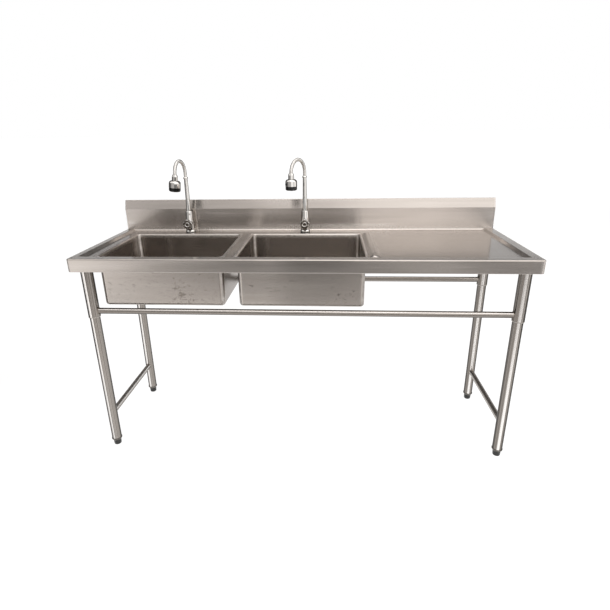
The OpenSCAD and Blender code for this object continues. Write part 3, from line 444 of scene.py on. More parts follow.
class PotSinkSettings(bpy.types.PropertyGroup):
    sheet_colour: FloatVectorProperty(
        name="Sheet colour", description="Lighter tone of the ground worktop sheet",
        size=4, subtype="COLOR", default=linear("#C9C3BE"))
    tube_colour: FloatVectorProperty(
        name="Tube colour", description="Lighter tone of the legs, sleeves, rails and braces",
        size=4, subtype="COLOR", default=linear("#A19B95"))
    lens: FloatProperty(
        name="Lens", description="Focal length of the camera", default=26.5, min=10, max=200)
    lamp: FloatProperty(
        name="Lamp", description="Brightness of the window behind the camera",
        default=1.65, min=0)
    neck_pitch: FloatProperty(
        name="Neck pitch", description="Distance from rib to rib of the flexible necks",
        default=0.004, min=0.002, max=0.01, subtype="DISTANCE", unit="LENGTH")
    neck_rib: FloatProperty(
        name="Neck rib", description="Depth of the groove between two ribs",
        default=0.0007, min=0, max=0.002, subtype="DISTANCE", unit="LENGTH")
    bead: FloatProperty(
        name="Bead", description="Radius of the weld beads",
        default=0.0014, min=0.0005, max=0.004, subtype="DISTANCE", unit="LENGTH")


# ---- stage

# The camera's place, its yaw, pitch and roll in degrees, and the shift of its picture
EYE, AIM, SHIFT = (0.1164, -1.9107, 1.3485), (4.125, 20.082, -0.972), (0.01103, -0.01531)
# Half the studio's width, the wall behind the camera, the ceiling, and the mats' height
STUDIO, BEHIND, CEILING, MAT = 7, -6, 4, 0.004
# The cards' faintly warm white
WARM = (1, 0.965, 0.94)


def lying(left, right, near, far, height):
    """The corners of a card that lies level. Its first side runs from left to right."""
    return [(left, near, height), (right, near, height), (right, far, height), (left, far, height)]


def standing(start, end, low, high):
    """The corners of a card that stands upright. Its first side runs from start to end."""
    return [(*start, low), (*end, low), (*end, high), (*start, high)]


class POTSINK_OT_stage(bpy.types.Operator):
    """Adds the camera, the pale floor and backdrop, and the studio round them"""
    bl_idname = "pot_sink.stage"
    bl_label = "Stage"

    def execute(self, context):
        scene = context.scene
        yaw, pitch, roll = (math.radians(a) for a in AIM)
        ahead = Matrix(((1, 0, 0), (0, 0, -1), (0, 1, 0)))
        turn = Matrix.Rotation(roll, 3, "Z") @ Matrix.Rotation(pitch, 3, "X") @ ahead
        turn = turn @ Matrix.Rotation(-yaw, 3, "Z")
        turn = Matrix((turn[0], -turn[1], -turn[2])).transposed()
        data = bpy.data.cameras.new("camera")
        data.lens = scene.pot_sink.lens
        data.shift_x, data.shift_y = SHIFT
        data.clip_start, data.clip_end = 0.05, 500.0
        camera = bpy.data.objects.new("camera", data)
        camera.matrix_world = Matrix.Translation(Vector(EYE)) @ turn.to_4x4()
        scene.collection.objects.link(camera)
        scene.camera = camera
        scene.view_settings.view_transform = "Standard"

        world = bpy.data.worlds.new("studio")
        world.use_nodes = True
        world.node_tree.nodes["Background"].inputs["Color"].default_value = (1, 1, 1, 1)
        scene.world = world

        self.floor()
        for card in self.cards(scene.pot_sink.lamp):
            self.card(*card)
        return {"FINISHED"}

    def quad(self, name, corners, made):
        """A stage quadrilateral through four corners."""
        mesh = bpy.data.meshes.new(name)
        mesh.from_pydata(corners, [], [(0, 1, 2, 3)])
        mesh.materials.append(made)
        quad = bpy.data.objects.new(name, mesh)
        bpy.context.scene.collection.objects.link(quad)
        return quad

    def floor(self):
        """The floor of white paper. For the eye, and for metal and glass, three quarters of
        its white is its own glow, so the background stays white and a soft shadow shows."""
        made, tree, shader = material("white_paper")
        tree.nodes.remove(shader)
        out = tree.nodes["Material Output"]
        path = add(tree, "ShaderNodeLightPath").outputs
        seen = add(tree, "ShaderNodeMath", {0: path["Is Camera Ray"], 1: path["Is Glossy Ray"]},
                   operation="MAXIMUM").outputs[0]
        seen = add(tree, "ShaderNodeMath", {0: seen, 1: path["Is Transmission Ray"]},
                   operation="MAXIMUM").outputs[0]
        paper = add(tree, "ShaderNodeBsdfDiffuse", {"Color": (0.9, 0.9, 0.9, 1)}).outputs[0]
        lit = add(tree, "ShaderNodeEmission", {"Color": (1, 1, 1, 1), "Strength": 1.25}).outputs[0]
        shown = add(tree, "ShaderNodeMixShader", {"Fac": 0.75, 1: paper, 2: lit}).outputs[0]
        both = add(tree, "ShaderNodeMixShader", {"Fac": seen, 1: paper, 2: shown}).outputs[0]
        tree.links.new(both, out.inputs["Surface"])
        self.quad("floor", lying(-200, 200, -200, 200, -0.0005), made)

    def cards(self, k):
        """The studio's walls, mats and windows as (name, corners, stops of share and glow
        along the first side), with k as the window's brightness. All stand outside the
        picture."""
        return [
            ("mat_near", lying(-1.5, 1.7, -1, -2, MAT),
             [(0, 1.3), (0.36, 1.3), (0.42, 0.95), (1, 0.9)]),
            ("mat_front", lying(-4.2, 4.2, -2, -9, MAT), [
                (0, 1.25), (0.235, 1.5), (0.258, 0.75), (0.29, 0.42), (0.36, 0.28),
                (0.468, 0.15), (0.532, 0.18), (0.593, 0.22), (0.655, 0.45), (0.67, 0.42),
                (0.69, 0.1), (0.765, 0.2), (1, 0.25)]),
            ("mat_left", lying(-8, -1.75, -1, 0.4, MAT), [(0, 0.3), (1, 0.3)]),
            ("mat_right", lying(8, 1.95, -1, 0.4, MAT), [(0, 0.3), (1, 0.3)]),
            ("ceiling_front", lying(-STUDIO, STUDIO, BEHIND, -2.6, CEILING),
             [(0, 0.55), (0.35, 0.75), (0.6, 1.4), (1, 1.9)]),
            ("ceiling", lying(-STUDIO, STUDIO, -2.6, 1.2, CEILING),
             [(0, 1.1), (0.42, 1.3), (0.49, 2.3), (0.53, 2.3), (0.6, 1.7), (1, 1.7)]),
            ("ceiling_rear", lying(-STUDIO, STUDIO, 1.2, 8, CEILING), [(0, 0.1), (1, 0.2)]),
            ("far_wall", standing((-70, 40), (70, 40), 12.2, 60), [(0, 0.1), (1, 0.12)]),
            ("rear_left", standing((-STUDIO, BEHIND), (-0.6, BEHIND), 0, CEILING), [
                (0, 0.6), (0.4, 0.8), (0.5, 0.6), (0.56, 0.3), (0.625, 0.28), (0.63, 0.12),
                (0.66, 0.16), (0.665, 0.45), (0.76, 0.55), (0.915, 0.45), (0.925, 0.95),
                (0.98, 0.95), (1, 0.6)]),
            ("rear_right", standing((-0.6, BEHIND), (STUDIO, BEHIND), 0.3, CEILING), [
                (0, 0.5), (0.09, 0.5), (0.1, 0.4), (0.135, 0.5), (0.14, 0.65 * k), (0.2, 0.8 * k),
                (0.36, k), (0.38, 0.75 * k), (1, 0.66 * k)]),
            ("left_wall", standing((-STUDIO, BEHIND), (-STUDIO, 5), 0, CEILING),
             [(0, 0.2), (1, 0.12)]),
            ("right_wall", standing((STUDIO, BEHIND), (STUDIO, 7), 0, CEILING),
             [(0, 0.4), (0.45, 1.5), (0.62, 0.9), (0.7, 0.12), (1, 0.12)]),
        ]

    def card(self, name, corners, stops):
        """A card that mirrors and lights but isn't seen. Its glow changes along its first
        side, by the stops."""
        made, tree, shader = material(name)
        tree.nodes.remove(shader)
        place = add(tree, "ShaderNodeTexCoord").outputs["Object"]
        a, b = Vector(corners[0]), Vector(corners[1])
        along = (b - a) / (b - a).length_squared
        dot = add(tree, "ShaderNodeVectorMath", {0: place, 1: along}, operation="DOT_PRODUCT")
        share = add(tree, "ShaderNodeMath", {0: dot.outputs["Value"], 1: along.dot(a)},
                    operation="SUBTRACT").outputs[0]
        peak = max(glow for at, glow in stops)
        colours = ramp(tree, share, [
            (at, (*(glow / peak * tint for tint in WARM), 1)) for at, glow in stops])
        glow = add(tree, "ShaderNodeEmission", {"Color": colours, "Strength": peak}).outputs[0]
        tree.links.new(glow, tree.nodes["Material Output"].inputs["Surface"])
        self.quad(name, corners, made).visible_camera = False


# ---- finishes of the CAD nodes

# Finishes and the words in the nodes' names that ask for them. The last match counts, and a
# node without any is plain sheet.
NODE_WORDS = {
    "post": ("sleeve", "leg_"), "rail": ("rail",), "brace": ("brace",), "sheet": ("channel",),
    "turned": ("screw", "washer", "strainer"), "zinc": ("insert",),
    "chrome": ("tap_body", "tap_knob", "riser", "ring", "neck", "head_nut", "spray_head"),
    "brass": ("cartridge", "spindle", "back_nut"), "black": ("spray_face", "spray_button"),
    "grey": ("foot_f", "foot_r", "lock_nut"), "rubber": ("gasket", "seal", "stopper")}
# A tube's axis, the way the side with its painted highlight faces, and where the painted shade of
# its edges starts. The braces run away from the eye, which meets even their middle at a low angle.
TUBES = {
    "post": ("Z", (-0.17, -0.985, 0), 0.28), "rail": ("X", (0, -0.6, 0.8), 0.28),
    "brace": ("Y", (0.8, 0, 0.6), 0.72)}


class POTSINK_OT_finishes(bpy.types.Operator):
    """Gives the sheet, the tubes, the taps and the small parts their finishes"""
    bl_idname = "pot_sink.finishes"
    bl_label = "Finishes"

    def execute(self, context):
        settings = context.scene.pot_sink
        # 304 stainless sheet, cold-rolled and satin ground: a soft, warm grey mirror
        FINISHES["sheet"] = metal(
            "stainless_sheet", "#C8BFB6", "#BDB3A9", 0.26, (6, 900, 900), 0.00001)
        # The same sheet where new pieces carry the grain's direction: images stay sharp
        # along the folds and blur up and down
        FINISHES["folded"] = ground_sheet(
            "folded_sheet", settings.sheet_colour, "#BDB7B1", 0.17, 0.03, 0.000003, 0.0011)
        # Deep-drawn and welded bowl sheet: duller, wavier, with handling marks low on the first
        # bowl's front, and painted reflection that darkens the walls where the eye meets them at
        # low angles
        FINISHES["bowl"] = painted_angle_shade(
            ground_sheet("bowl_sheet", "#C3BDB7", "#BBB4AE", 0.2, 0.015, 0.000003, 0.0026,
                         ((-0.485, -0.222, 0.728), 0.075)),
            [(0.55, "#FFFFFF"), (0.78, "#A0968E"), (1.0, "#7A716A")])
        # 304 stainless tube, drawn and belt polished round its girth: lines run its length. Each
        # tube gets a painted highlight along one side and painted shade towards its edges.
        for key, (axis, highlight_side, grazing) in TUBES.items():
            FINISHES[key] = drawn_tube(
                "stainless_" + key, settings.tube_colour, axis, highlight_side, grazing)
        FINISHES.update(
            # Turned stainless parts: an even, slightly dull shine
            turned=metal("turned_stainless", "#B4AFAA", "#A29D97", 0.25, (300, 300, 900), 0.0),
            # Zinc-plated steel, dulled by handling: dark grey
            zinc=metal("zinc_plate", "#7E7A75", "#625E5A", 0.35, (200, 200, 200), 0.0),
            # Weld bead, brushed once with a wire brush: straw to grey
            weld=metal("weld_bead", "#A89C90", "#7E756D", 0.33, (500, 500, 500), 0.00002),
            # Chrome-plated brass, buffed: a clear mirror, with painted reflection that darkens its
            # edges
            chrome=painted_angle_shade(
                metal("chrome_plate", "#E3E2E0", "#DAD9D6", 0.05, (40, 40, 40), 0.0, 0.02),
                [(0.3, "#FFFFFF"), (0.55, "#B5B2AF"), (0.75, "#4A4744"), (0.9, "#2B2927"),
                 (1.0, "#8C8986")]),
            # Machined brass of the valves and back nuts: yellow, with turning marks
            brass=metal("machined_brass", "#C9A860", "#B8954F", 0.25, (400, 400, 900), 0.0),
            # Gloss-moulded ABS of the spray faces and buttons: a clear shine on black
            black=plastic("black_abs", "#0C0C0D", "#070708", 0.12, (60, 60, 60)),
            # Moulded polyamide of the feet and lock nuts: dull, with a fine moulded texture
            grey=plastic("grey_polyamide", "#2C2D2C", "#222322", 0.45, (90, 90, 90), 0.00003),
            # Moulded EPDM rubber of the seals and stoppers: matt black
            rubber=plastic("black_epdm", "#1E1E1F", "#151516", 0.7, (120, 120, 120), 0.00003))
        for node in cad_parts:
            keys = [key for key, words in NODE_WORDS.items() if any(w in node for w in words)]
            finish(node, keys[-1] if keys else "sheet")
        return {"FINISHED"}


# ---- sheet work

# The worktop's grid lines: fine over the slopes and round the openings, coarse between
(LEFT_IN, LEFT_OUT), (RIGHT_IN, RIGHT_OUT) = BOWLS.values()
GRID_X = lines(
    -EDGE, 0.008, -CORNER, 0.005, RIM_LEFT - SOFT, 0.001, RIM_LEFT + SLOPE + SOFT, 0.008,
    LEFT_IN - CELL, 0.002, LEFT_IN + ROUND, 0.03, LEFT_OUT - ROUND, 0.002,
    LEFT_OUT + CELL, 0.005, RIGHT_IN - CELL, 0.002, RIGHT_IN + ROUND, 0.03,
    RIGHT_OUT - ROUND, 0.002, RIDGE_CELL[0][0], 0.004, RIDGE_CELL[0][1], 0.04,
    RIM_RIGHT - SLOPE - SOFT, 0.001, RIM_RIGHT + SOFT, 0.008, CORNER, 0.008, EDGE)
GRID_Y = lines(
    FRONT + FOLD, 0.008, FRONT_CORNER, 0.006, RIM_FRONT - SOFT, 0.001,
    RIM_FRONT + SLOPE + SOFT, 0.005, BOWL_Y[0] - CELL, 0.002, BOWL_Y[0] + ROUND, 0.03,
    BOWL_Y[1] - ROUND, 0.002, BOWL_Y[1] + CELL, 0.005, RIDGE_CELL[1][1], 0.015, FACE - COVE)


def inside(values, span):
    """Which of the cells between neighbouring grid lines lie within a span."""
    middle = (values[:-1] + values[1:]) / 2
    return (middle > span[0]) & (middle < span[1])


def splash_profile():
    """The splashback's section in Y and Z: out of the deck through a cove, up the face,
    back along the band, round the top fold and down to the end of the rear return."""
    fold = np.array([WALL - TOP_FOLD, TOP - TOP_FOLD])
    to_fold = fold - (FACE, CREASE)
    band = math.atan2(to_fold[1], to_fold[0]) + math.asin(TOP_FOLD / np.linalg.norm(to_fold))
    turn = math.pi / 2 - band
    soft = 0.004  # radius of the crease
    reach = soft * math.tan(turn / 2)
    return np.concatenate([
        bend((FACE - COVE, DECK + COVE), COVE, -90, 0, 12),
        [(FACE, 0.93), (FACE, 0.965)],  # two rows on the flat face
        bend((FACE + soft, CREASE - reach), soft, 180, 180 - math.degrees(turn), 5),
        bend(fold, TOP_FOLD, math.degrees(band) + 90, 90, ARC),
        bend(fold, TOP_FOLD, 90, 0, ARC)[1:],
        [(WALL, TOP - TOP_FOLD - BACK_RETURN)]])


class POTSINK_OT_worktop(bpy.types.Operator):
    """Folds the worktop from one sheet: rim, slopes, deck, lips, ridge, apron and splashback"""
    bl_idname = "pot_sink.worktop"
    bl_label = "Worktop"

    def execute(self, context):
        skin = Skin()
        self.deck(skin)
        for x in BOWLS.values():
            self.lip(skin, x)
        self.ridge(skin)
        self.skirt(skin)
        self.splashback(skin)
        piece = skin.sew("pressed_worktop", "folded", SHEET)
        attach(piece, "sink")
        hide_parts("worktop")
        return {"FINISHED"}

    def deck(self, skin):
        """The rim, slopes and deck on the grid, without the cells of the bowls and the ridge.
        The welds of the two mitres at the front corners fade out over a finger's width."""
        x, y = np.meshgrid(GRID_X, GRID_Y)
        points = np.stack([x, y, deck_height(x, y)], -1)
        keep = np.ones((len(GRID_Y) - 1, len(GRID_X) - 1), bool)
        deep = (BOWL_Y[0] - CELL, BOWL_Y[1] + CELL)
        cells = [((a - CELL, b + CELL), deep) for a, b in BOWLS.values()]
        corners = [(span, (FRONT, FRONT_CORNER)) for span in ((-END, -CORNER), (CORNER, END))]
        for span_x, span_y in (*cells, RIDGE_CELL, *corners):
            keep &= ~(inside(GRID_Y, span_y)[:, None] & inside(GRID_X, span_x)[None, :])
        skin.patch(points, np.stack([x, y], -1), self.polish(x, y), keep)

    def polish(self, x, y):
        """How much the deck was ground by hand: along the two mitres, fading out over 12 mm,
        and round each opening, fading out over 2 cm."""
        left = np.abs((x - RIM_LEFT) - (y - RIM_FRONT))
        right = np.abs((RIM_RIGHT - x) - (y - RIM_FRONT))
        close = np.clip(1 - np.minimum(left, right) / 0.012, 0, 1) * (y < RIM_FRONT + 0.03)
        for a, b in BOWLS.values():
            out = np.maximum(np.maximum(a - x, x - b), np.maximum(BOWL_Y[0] - y, y - BOWL_Y[1]))
            close = np.maximum(close, np.clip(1.3 - np.abs(out) / 0.016, 0, 1))
        return close

    def lip(self, skin, x):
        """Round a bowl's opening: flat from the cell's edge to the lip, then a quarter circle
        down."""
        edge, base, away = round_bowl(x)
        start = base + away * (BOWL_TURN + LIP_ROLL)
        share = np.linspace(0, 1, 3)[:, None, None]
        flat = edge[None] * (1 - share) + start[None] * share
        skin.patch(raised(flat, DECK), flat, self.polish(flat[..., 0], flat[..., 1]))
        t = np.radians(np.linspace(0, 90, 9))
        rows = loops(base, away, BOWL_TURN + LIP_ROLL * (1 - np.sin(t)), LIP + LIP_ROLL * np.cos(t))
        skin.patch(rows, grid(lengths(start), LIP_ROLL * t), 1.0)

    def ridge(self, skin):
        """The drip ridge: loops round its long axis whose height eases from the deck up the
        sloping sides to the flat top."""
        edge = cell_edge(*RIDGE_CELL)
        base, away = from_core(edge, (RIDGE_X, RIDGE_Y[0]), (RIDGE_X, RIDGE_Y[1]))
        inner = np.array([0.0258, 0.0249, 0.024, 0.0231, 0.0222, 0.018, 0.014, 0.0118, 0.0109,
                          0.01, 0.0091, 0.0082, 0.005, 0.0])
        fall = (eased(inner - RIDGE_TOP) - eased(inner - RIDGE_FOOT)) / (RIDGE_FOOT - RIDGE_TOP)
        height = DECK + RIDGE_HIGH * (1 - fall)
        first = raised(edge, deck_height(edge[:, 0], edge[:, 1]))
        rows = np.concatenate([first[None], loops(base, away, inner, height)])
        skin.patch(rows, rows[..., :2], 0.15)

    def skirt(self, skin):
        """The fold from the rim, the apron, the fold at its foot and the inward return, carried
        along the left end, round both upright corners and along the right end."""
        quarter = np.radians(np.linspace(0, 90, 9))
        for side in (-1, 1):
            corner = np.array([side * CORNER, FRONT_CORNER])
            arc = corner + TURN * np.stack([side * np.cos(quarter), -np.sin(quarter)], -1)
            fan = np.stack([np.broadcast_to(corner, arc.shape), arc])
            skin.patch(raised(fan, RIM), fan)
        a = quarter + math.pi
        turned = np.stack([np.cos(a), np.sin(a)], -1)
        cove = bend((FACE - COVE, DECK + COVE), COVE, 0, -90, 12)[:, 0]
        down = np.concatenate([cove, GRID_Y[GRID_Y > FRONT_CORNER + MERGE][::-1][1:]])
        # Half of the path with the ways it faces, then the front, then the half in a mirror
        half = np.concatenate([np.stack([np.full(len(down), -EDGE), down], -1),
                               (-CORNER, FRONT_CORNER) + TURN * turned])
        facing = np.concatenate([np.tile((-1.0, 0.0), (len(down), 1)), turned])
        front = GRID_X[(GRID_X > -CORNER + MERGE) & (GRID_X < CORNER - MERGE)]
        front = np.stack([front, np.full(len(front), FRONT + FOLD)], -1)
        path = np.concatenate([half, front, half[::-1] * (-1, 1)])
        out = np.concatenate([
            facing, np.tile((0.0, -1.0), (len(front), 1)), facing[::-1] * (-1, 1)])
        profile = np.concatenate([
            bend((0, RIM - FOLD), FOLD, 90, 0, 8), [(FOLD, 0.875)],  # a row on the flat apron
            bend((FOLD - HEM, APRON + HEM), HEM, 0, -90, 6), [(FOLD - RETURN, APRON)]])
        rows = loops(path, out, profile[:, 0], profile[:, 1])
        # The welds of the two upright corners were ground over a finger's width
        near = np.clip(1 - np.abs(np.abs(path[:, 0]) - END) / 0.02, 0, 1)
        near *= path[:, 1] < FRONT + 0.03
        # Brushing makes the skirt a little rougher and lightens it faintly as a painted highlight
        skin.patch(rows, grid(lengths(path), lengths(profile)), near, brush_and_sheen=0.1)

    def splashback(self, skin):
        """The splashback's section carried along the worktop. Its first rows meet the deck and
        the slopes, and its ends turn over a small round edge into closed caps."""
        section = splash_profile()
        soft = 0.002  # radius of the ends' edges
        across = lengths(section)
        y, z = section[:, 0][:, None], section[:, 1][:, None]
        high = np.where(z < RIM, np.maximum(z, deck_height(GRID_X[None, :], 0.0 * y)), z)
        points = np.stack(np.broadcast_arrays(GRID_X[None, :], y, high), -1)
        weld = np.exp(-((z - RIM) / 0.008) ** 2) * 0.4
        # Brushing makes the splashback rougher and lightens it a little as a painted highlight
        skin.patch(points, grid(GRID_X, across + FACE), weld, brush_and_sheen=0.4)
        above = section[section[:, 1] > RIM - MERGE]
        crown = above[:, 1].argmax()
        front = np.concatenate([[(FACE, APRON), (FACE, 0.88)], above[:crown + 1]])
        rear = front[:-ARC] * (0, 1) + (WALL, 0)
        face = np.concatenate([front, above[crown + 1:crown + ARC], rear[::-1]])
        step = np.diff(face, axis=0)
        turned = np.stack([-step[:, 1], step[:, 0]], -1) / np.linalg.norm(step, axis=1)[:, None]
        normal = np.concatenate([turned[:1], turned[:-1] + turned[1:], turned[-1:]])
        normal /= np.linalg.norm(normal, axis=1)[:, None]
        a = np.radians(np.linspace(0, 90, 6))[:, None]
        for side in (-1, 1):
            edge = END - soft + soft * np.sin(a) + np.zeros((1, len(face)))
            depth = np.concatenate([np.full((1, len(face)), EDGE), edge])
            pull = np.concatenate([[[0.0]], soft * (1 - np.cos(a))])
            pull = pull * np.clip((face[:, 1] - RIM) / 0.01, 0, 1)
            flat = face[None] - normal[None] * pull[..., None]
            rows = np.concatenate([side * depth[..., None], flat], -1)
            skin.patch(rows, grid(face[:, 1], np.linspace(0, 0.01, len(rows))), 0.6)
            rim = flat[-1]
            cap = np.stack([rim[:len(front)], rim[len(front) - 1:][::-1]])
            ends = np.full(cap.shape[:2] + (1,), side * END)
            skin.patch(np.concatenate([ends, cap], -1), cap, 0.3)


class POTSINK_OT_bowls(bpy.types.Operator):
    """Draws the two bowls: walls, round corners, a fillet and a recess for the waste"""
    bl_idname = "pot_sink.bowls"
    bl_label = "Bowls"

    def execute(self, context):
        for node, x in BOWLS.items():
            skin = Skin()
            _, base, away = round_bowl(x)
            foot = BOWL_FLOOR + BOWL_FILLET
            heights = np.array([LIP, LIP - 0.001, 0.87, 0.83, 0.78, 0.73, 0.705, foot])
            wall = loops(base, away, np.full(len(heights), BOWL_TURN), heights)
            t = np.radians(np.linspace(0, 90, 10))[1:]
            fillet = loops(base, away, BOWL_TURN - BOWL_FILLET * (1 - np.cos(t)),
                           foot - BOWL_FILLET * np.sin(t))
            rows = np.concatenate([wall, fillet])
            weld = np.exp(-((rows[..., 2] - LIP) / 0.006) ** 2)
            # Painted highlight, on a rougher finish, on the upright corners, and on the side walls
            # beside the rear ones over 10 cm
            corner = 2.4 * np.clip(4 * (away[:, 0] * away[:, 1]) ** 2 - 0.2, 0, 1)
            side_wall_highlight = np.clip(1 - (base[:, 1].max() - base[:, 1]) / 0.1, 0, 1)
            side_wall_highlight *= np.abs(away[:, 0]) > 0.9
            down = np.concatenate([LIP - heights, LIP - foot + BOWL_FILLET * t])
            skin.patch(rows, grid(lengths(wall[0]), down), weld,
                       brush_and_sheen=np.maximum(corner, 3 * side_wall_highlight ** 2))
            self.floor(skin, fillet[-1], np.array([sum(x) / 2, sum(BOWL_Y) / 2]))
            piece = skin.sew("pressed_" + node, "bowl", SHEET)
            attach(piece, "sink")
            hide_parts(node)
        return {"FINISHED"}

    def floor(self, skin, loop, centre):
        """The floor from the fillet's foot to the recess, and the recess down to its step."""
        edge = loop[:, :2]
        away = edge - centre
        away /= np.linalg.norm(away, axis=1)[:, None]
        share = np.linspace(0, 1, 9)[:, None, None]
        step = np.array(RECESS)
        flat = edge[None] * (1 - share) + (centre + away * step[0, 0])[None] * share
        skin.patch(raised(flat, BOWL_FLOOR), flat)
        rows = loops(np.broadcast_to(centre, edge.shape), away, step[:, 0], step[:, 1])
        skin.patch(rows, rows[..., :2])


# ---- taps and welds

# Each tap's place along the worktop and the turn of its spout in degrees, and the taps'
# place from front to back
TAPS, TAP_Y = {"left": (-0.566, 6.0), "right": (0.0, 28.5)}, 0.245
# Flexible neck: height of its foot, rise, radius of its half circle, tail, tube radius
NECK_FOOT, NECK_RISE, NECK_BEND, NECK_TAIL, NECK_R = 0.255, 0.027, 0.0575, 0.004, 0.00815
# Handwheel: place of its back and axis, radius, length, rounding of its edge, lobes
WHEEL_BACK, WHEEL_Z, WHEEL_R, WHEEL_LONG, WHEEL_EDGE, LOBES = 0.0245, 0.046, 0.024, 0.023, 0.004, 5
# Radius and distance of the lobes' circles, the core between them, the neck at the back
# and the bevel from it, and the groove round the face's middle
LOBE_R, LOBE_AT, CORE_R, WHEEL_NECK, BEVEL = 0.0072, 0.0168, 0.01488, 0.01728, 0.006
GROOVE_R, GROOVE_HALF, GROOVE_DEEP = 0.0096, 0.001, 0.0015
# Legs: places in X and Y, radii of leg, sleeve and rail, heights of rails and braces, the
# sleeves' lower end, and half the thickness and width of its turned rim
LEG_X, LEG_Y, LEG_R, SLEEVE_R, TUBE_R = 0.857, (-0.24, 0.208), 0.021, 0.024, 0.0125
RAIL_Z, BRACE_Z, SLEEVE_FOOT, RIM_THICK, RIM_WIDE = 0.663, 0.165, 0.637, 0.0015, 0.002


def at_tap(points, side, turned=False):
    """Moves points from a tap's own axis to the deck, turned with its spout where asked."""
    x, turn = TAPS[side]
    a = math.radians(-turn) if turned else 0.0
    turn = np.array([[math.cos(a), math.sin(a), 0], [-math.sin(a), math.cos(a), 0], [0, 0, 1]])
    return points @ turn + (x, TAP_Y, DECK)


def softer(a, b, blend):
    """The smaller of two values, rounded where they come close to each other."""
    near = np.clip(1 - np.abs(a - b) / blend, 0, 1)
    return np.minimum(a, b) - near ** 2 * blend / 4


class POTSINK_OT_necks(bpy.types.Operator):
    """Winds the ribbed flexible necks of the two spouts"""
    bl_idname = "pot_sink.necks"
    bl_label = "Flexible necks"

    def execute(self, context):
        settings = context.scene.pot_sink
        for side in TAPS:
            skin = Skin()
            self.hose(skin, side, settings.neck_pitch, settings.neck_rib)
            piece = skin.sew(side + "_ribbed_neck", "chrome")
            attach(piece, side + "_spout")
            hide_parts(side + "_flexible_neck")
        return {"FINISHED"}

    def hose(self, skin, side, pitch, rib):
        """A tube along a line that rises, turns through a half circle and ends in a short tail.
        Its radius swells and shrinks once a pitch, and the swelling runs round as a helix."""
        length = NECK_RISE + math.pi * NECK_BEND + NECK_TAIL
        s = np.linspace(0, length, 8 * round(length / pitch) + 1)
        a = np.clip((s - NECK_RISE) / NECK_BEND, 0, math.pi)
        tail = np.maximum(s - NECK_RISE - math.pi * NECK_BEND, 0)
        y = -NECK_BEND * (1 - np.cos(a))
        z = NECK_FOOT + np.minimum(s, NECK_RISE) + NECK_BEND * np.sin(a) - tail
        girth = np.linspace(0, 2 * math.pi, 25)
        swell = 0.5 - 0.5 * np.cos(2 * math.pi * s[:, None] / pitch - girth[None, :])
        radius = NECK_R - rib * swell ** 2
        radius[[0, -1]] = 0.0
        out = radius * np.sin(girth)
        points = np.stack([radius * np.cos(girth), y[:, None] + out * np.cos(a)[:, None],
                           z[:, None] + out * np.sin(a)[:, None]], -1)
        skin.patch(at_tap(points, side, True), grid(girth * NECK_R, s))


class POTSINK_OT_handwheels(bpy.types.Operator):
    """Turns the two five-lobed handwheels with soft lobes, a bevelled back and a ring groove"""
    bl_idname = "pot_sink.handwheels"
    bl_label = "Handwheels"

    def execute(self, context):
        for side in TAPS:
            skin = Skin()
            self.wheel(skin, side)
            piece = skin.sew(side + "_lobed_handwheel", "chrome")
            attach(piece, side + "_handwheel")
            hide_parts(side + "_tap_knob")
        return {"FINISHED"}

    def wheel(self, skin, side):
        """Radius over angle and height: the outline of five lobe circles on a core, held
        below a turned profile, with every edge between the two rounded."""
        angle = np.linspace(0, 2 * math.pi, 161)
        step = 2 * math.pi / LOBES
        off = (angle - math.pi / 2 + step / 2) % step - step / 2
        inside_root = np.maximum(LOBE_R ** 2 - (LOBE_AT * np.sin(off)) ** 2, 0)
        lobe = np.where(inside_root > 0, LOBE_AT * np.cos(off) + np.sqrt(inside_root), 0)
        outline = -softer(-lobe, -CORE_R, 0.003)
        quarter = np.radians(np.linspace(0, 90, 8))
        profile = np.concatenate([
            [(0.0, 0.0), (0.006, 0.0), (WHEEL_NECK - 0.001, 0.0), (WHEEL_NECK, 0.0004)],
            np.stack([np.linspace(WHEEL_NECK, WHEEL_R, 6)[1:], np.linspace(0, BEVEL, 6)[1:]], -1),
            [(WHEEL_R, 0.0125), (WHEEL_R, WHEEL_LONG - WHEEL_EDGE - 0.0005)],
            np.stack([WHEEL_R - WHEEL_EDGE * (1 - np.cos(quarter)),
                      WHEEL_LONG - WHEEL_EDGE * (1 - np.sin(quarter))], -1)])
        limit = profile[:, 0][:, None]
        radius = softer(limit, outline, 0.002)
        radius[0] = 0.0
        height = profile[:, 1][:, None] + 0 * radius
        # The face runs in from the edge, domed a little, with a groove round the middle
        share = np.concatenate([np.linspace(1, 0.62, 5)[1:], [0.58, 0.55, 0.52],
                                np.linspace(0.5, 0.3, 5), [0.2, 0.1, 0]])
        face = radius[-1][None, :] * share[:, None]
        middle = np.minimum(face, 0.0125 * np.minimum(share[:, None] / 0.62, 1))
        face = np.where(share[:, None] < 0.62, middle, face)
        dip = np.exp(-((face - GROOVE_R) / GROOVE_HALF) ** 2) * GROOVE_DEEP
        skin_r = np.concatenate([radius, face])
        skin_z = np.concatenate([height, WHEEL_LONG - dip])
        points = np.stack([skin_r * np.cos(angle), -WHEEL_BACK - skin_z,
                           WHEEL_Z + skin_r * np.sin(angle)], -1)
        skin.patch(at_tap(points, side), grid(angle * WHEEL_R, np.arange(len(points)) * 0.002))


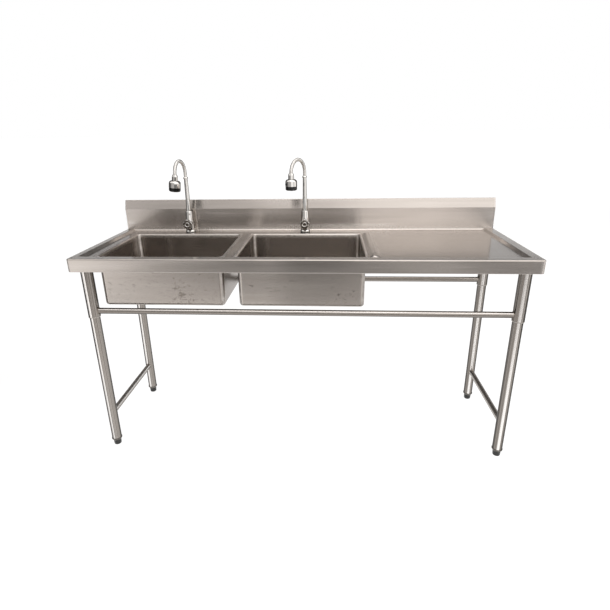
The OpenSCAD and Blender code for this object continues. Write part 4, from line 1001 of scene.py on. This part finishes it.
class POTSINK_OT_welds(bpy.types.Operator):
    """Lays the weld beads of the rails and braces, and turns the rims of the sleeves"""
    bl_idname = "pot_sink.welds"
    bl_label = "Weld beads and sleeve rims"

    def execute(self, context):
        size = context.scene.pot_sink.bead
        skin, rims = Skin(), Skin()
        for x in (-LEG_X, LEG_X):
            for y in LEG_Y:
                self.bead(skin, (x, y, RAIL_Z), (-math.copysign(1, x), 0), SLEEVE_R, size)
                self.bead(skin, (x, y, BRACE_Z), (0, -math.copysign(1, y)), LEG_R, size)
                self.rim(rims, x, y)
        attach(skin.sew("weld_beads", "weld"), "sink")
        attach(rims.sew("sleeve_rims", "turned"), "sink")
        return {"FINISHED"}

    def bead(self, skin, centre, facing, post, size):
        """A round bead along the curve where a level tube runs into an upright post. The
        bead's thickness ripples once for each puddle of the weld."""
        a = np.linspace(0, 2 * math.pi, 97)[:, None]
        b = np.linspace(0, 2 * math.pi, 9)[None, :]
        ripple = size * (1 + 0.16 * np.sin(22 * a))
        tube = TUBE_R + ripple * np.cos(b)
        side, up = tube * np.sin(a), tube * np.cos(a)
        out = np.sqrt(post ** 2 - (TUBE_R * np.sin(a)) ** 2) + ripple * np.sin(b)
        x = centre[0] + facing[0] * out + facing[1] * side
        y = centre[1] + facing[1] * out + facing[0] * side
        points = np.stack([x, y, centre[2] + up], -1)
        skin.patch(points, grid(b[0] * size, a[:, 0] * TUBE_R))

    def rim(self, skin, x, y):
        """A turned ring, 0.4 mm proud of the sleeve, whose section is a circle pushed out
        towards a square."""
        a = np.linspace(0, 2 * math.pi, 65)[:, None]
        b = np.linspace(0, 2 * math.pi, 13)[None, :]
        across = np.sign(np.cos(b)) * np.abs(np.cos(b)) ** 0.6
        up = np.sign(np.sin(b)) * np.abs(np.sin(b)) ** 0.6
        radius = SLEEVE_R - 0.0011 + RIM_THICK * across
        height = SLEEVE_FOOT + RIM_WIDE + RIM_WIDE * up
        points = np.stack([x + radius * np.cos(a), y + radius * np.sin(a), height + 0 * a], -1)
        skin.patch(points, grid(b[0] * 0.002, a[:, 0] * SLEEVE_R))


class POTSINK_PT_panel(bpy.types.Panel):
    """Lists the pot sink's settings and steps"""
    bl_label = "Pot Sink"
    bl_idname = "POTSINK_PT_panel"
    bl_space_type = "VIEW_3D"
    bl_region_type = "UI"
    bl_category = "Pot Sink"

    def draw(self, context):
        for name in ("sheet_colour", "tube_colour", "lens", "lamp", "neck_pitch", "neck_rib",
                     "bead"):
            self.layout.prop(context.scene.pot_sink, name)
        for step in STEPS:
            self.layout.operator(step.bl_idname)


STEPS = (POTSINK_OT_stage, POTSINK_OT_finishes, POTSINK_OT_worktop, POTSINK_OT_bowls,
         POTSINK_OT_necks, POTSINK_OT_handwheels, POTSINK_OT_welds)
CLASSES = (PotSinkSettings, *STEPS, POTSINK_PT_panel)


def register():
    for made in CLASSES:
        bpy.utils.register_class(made)
    bpy.types.Scene.pot_sink = PointerProperty(type=PotSinkSettings)


def unregister():
    del bpy.types.Scene.pot_sink
    for made in reversed(CLASSES):
        bpy.utils.unregister_class(made)


def main():
    register()
    for step in STEPS:
        group, name = step.bl_idname.split(".")
        getattr(getattr(bpy.ops, group), name)()


if __name__ == "__main__":
    main()
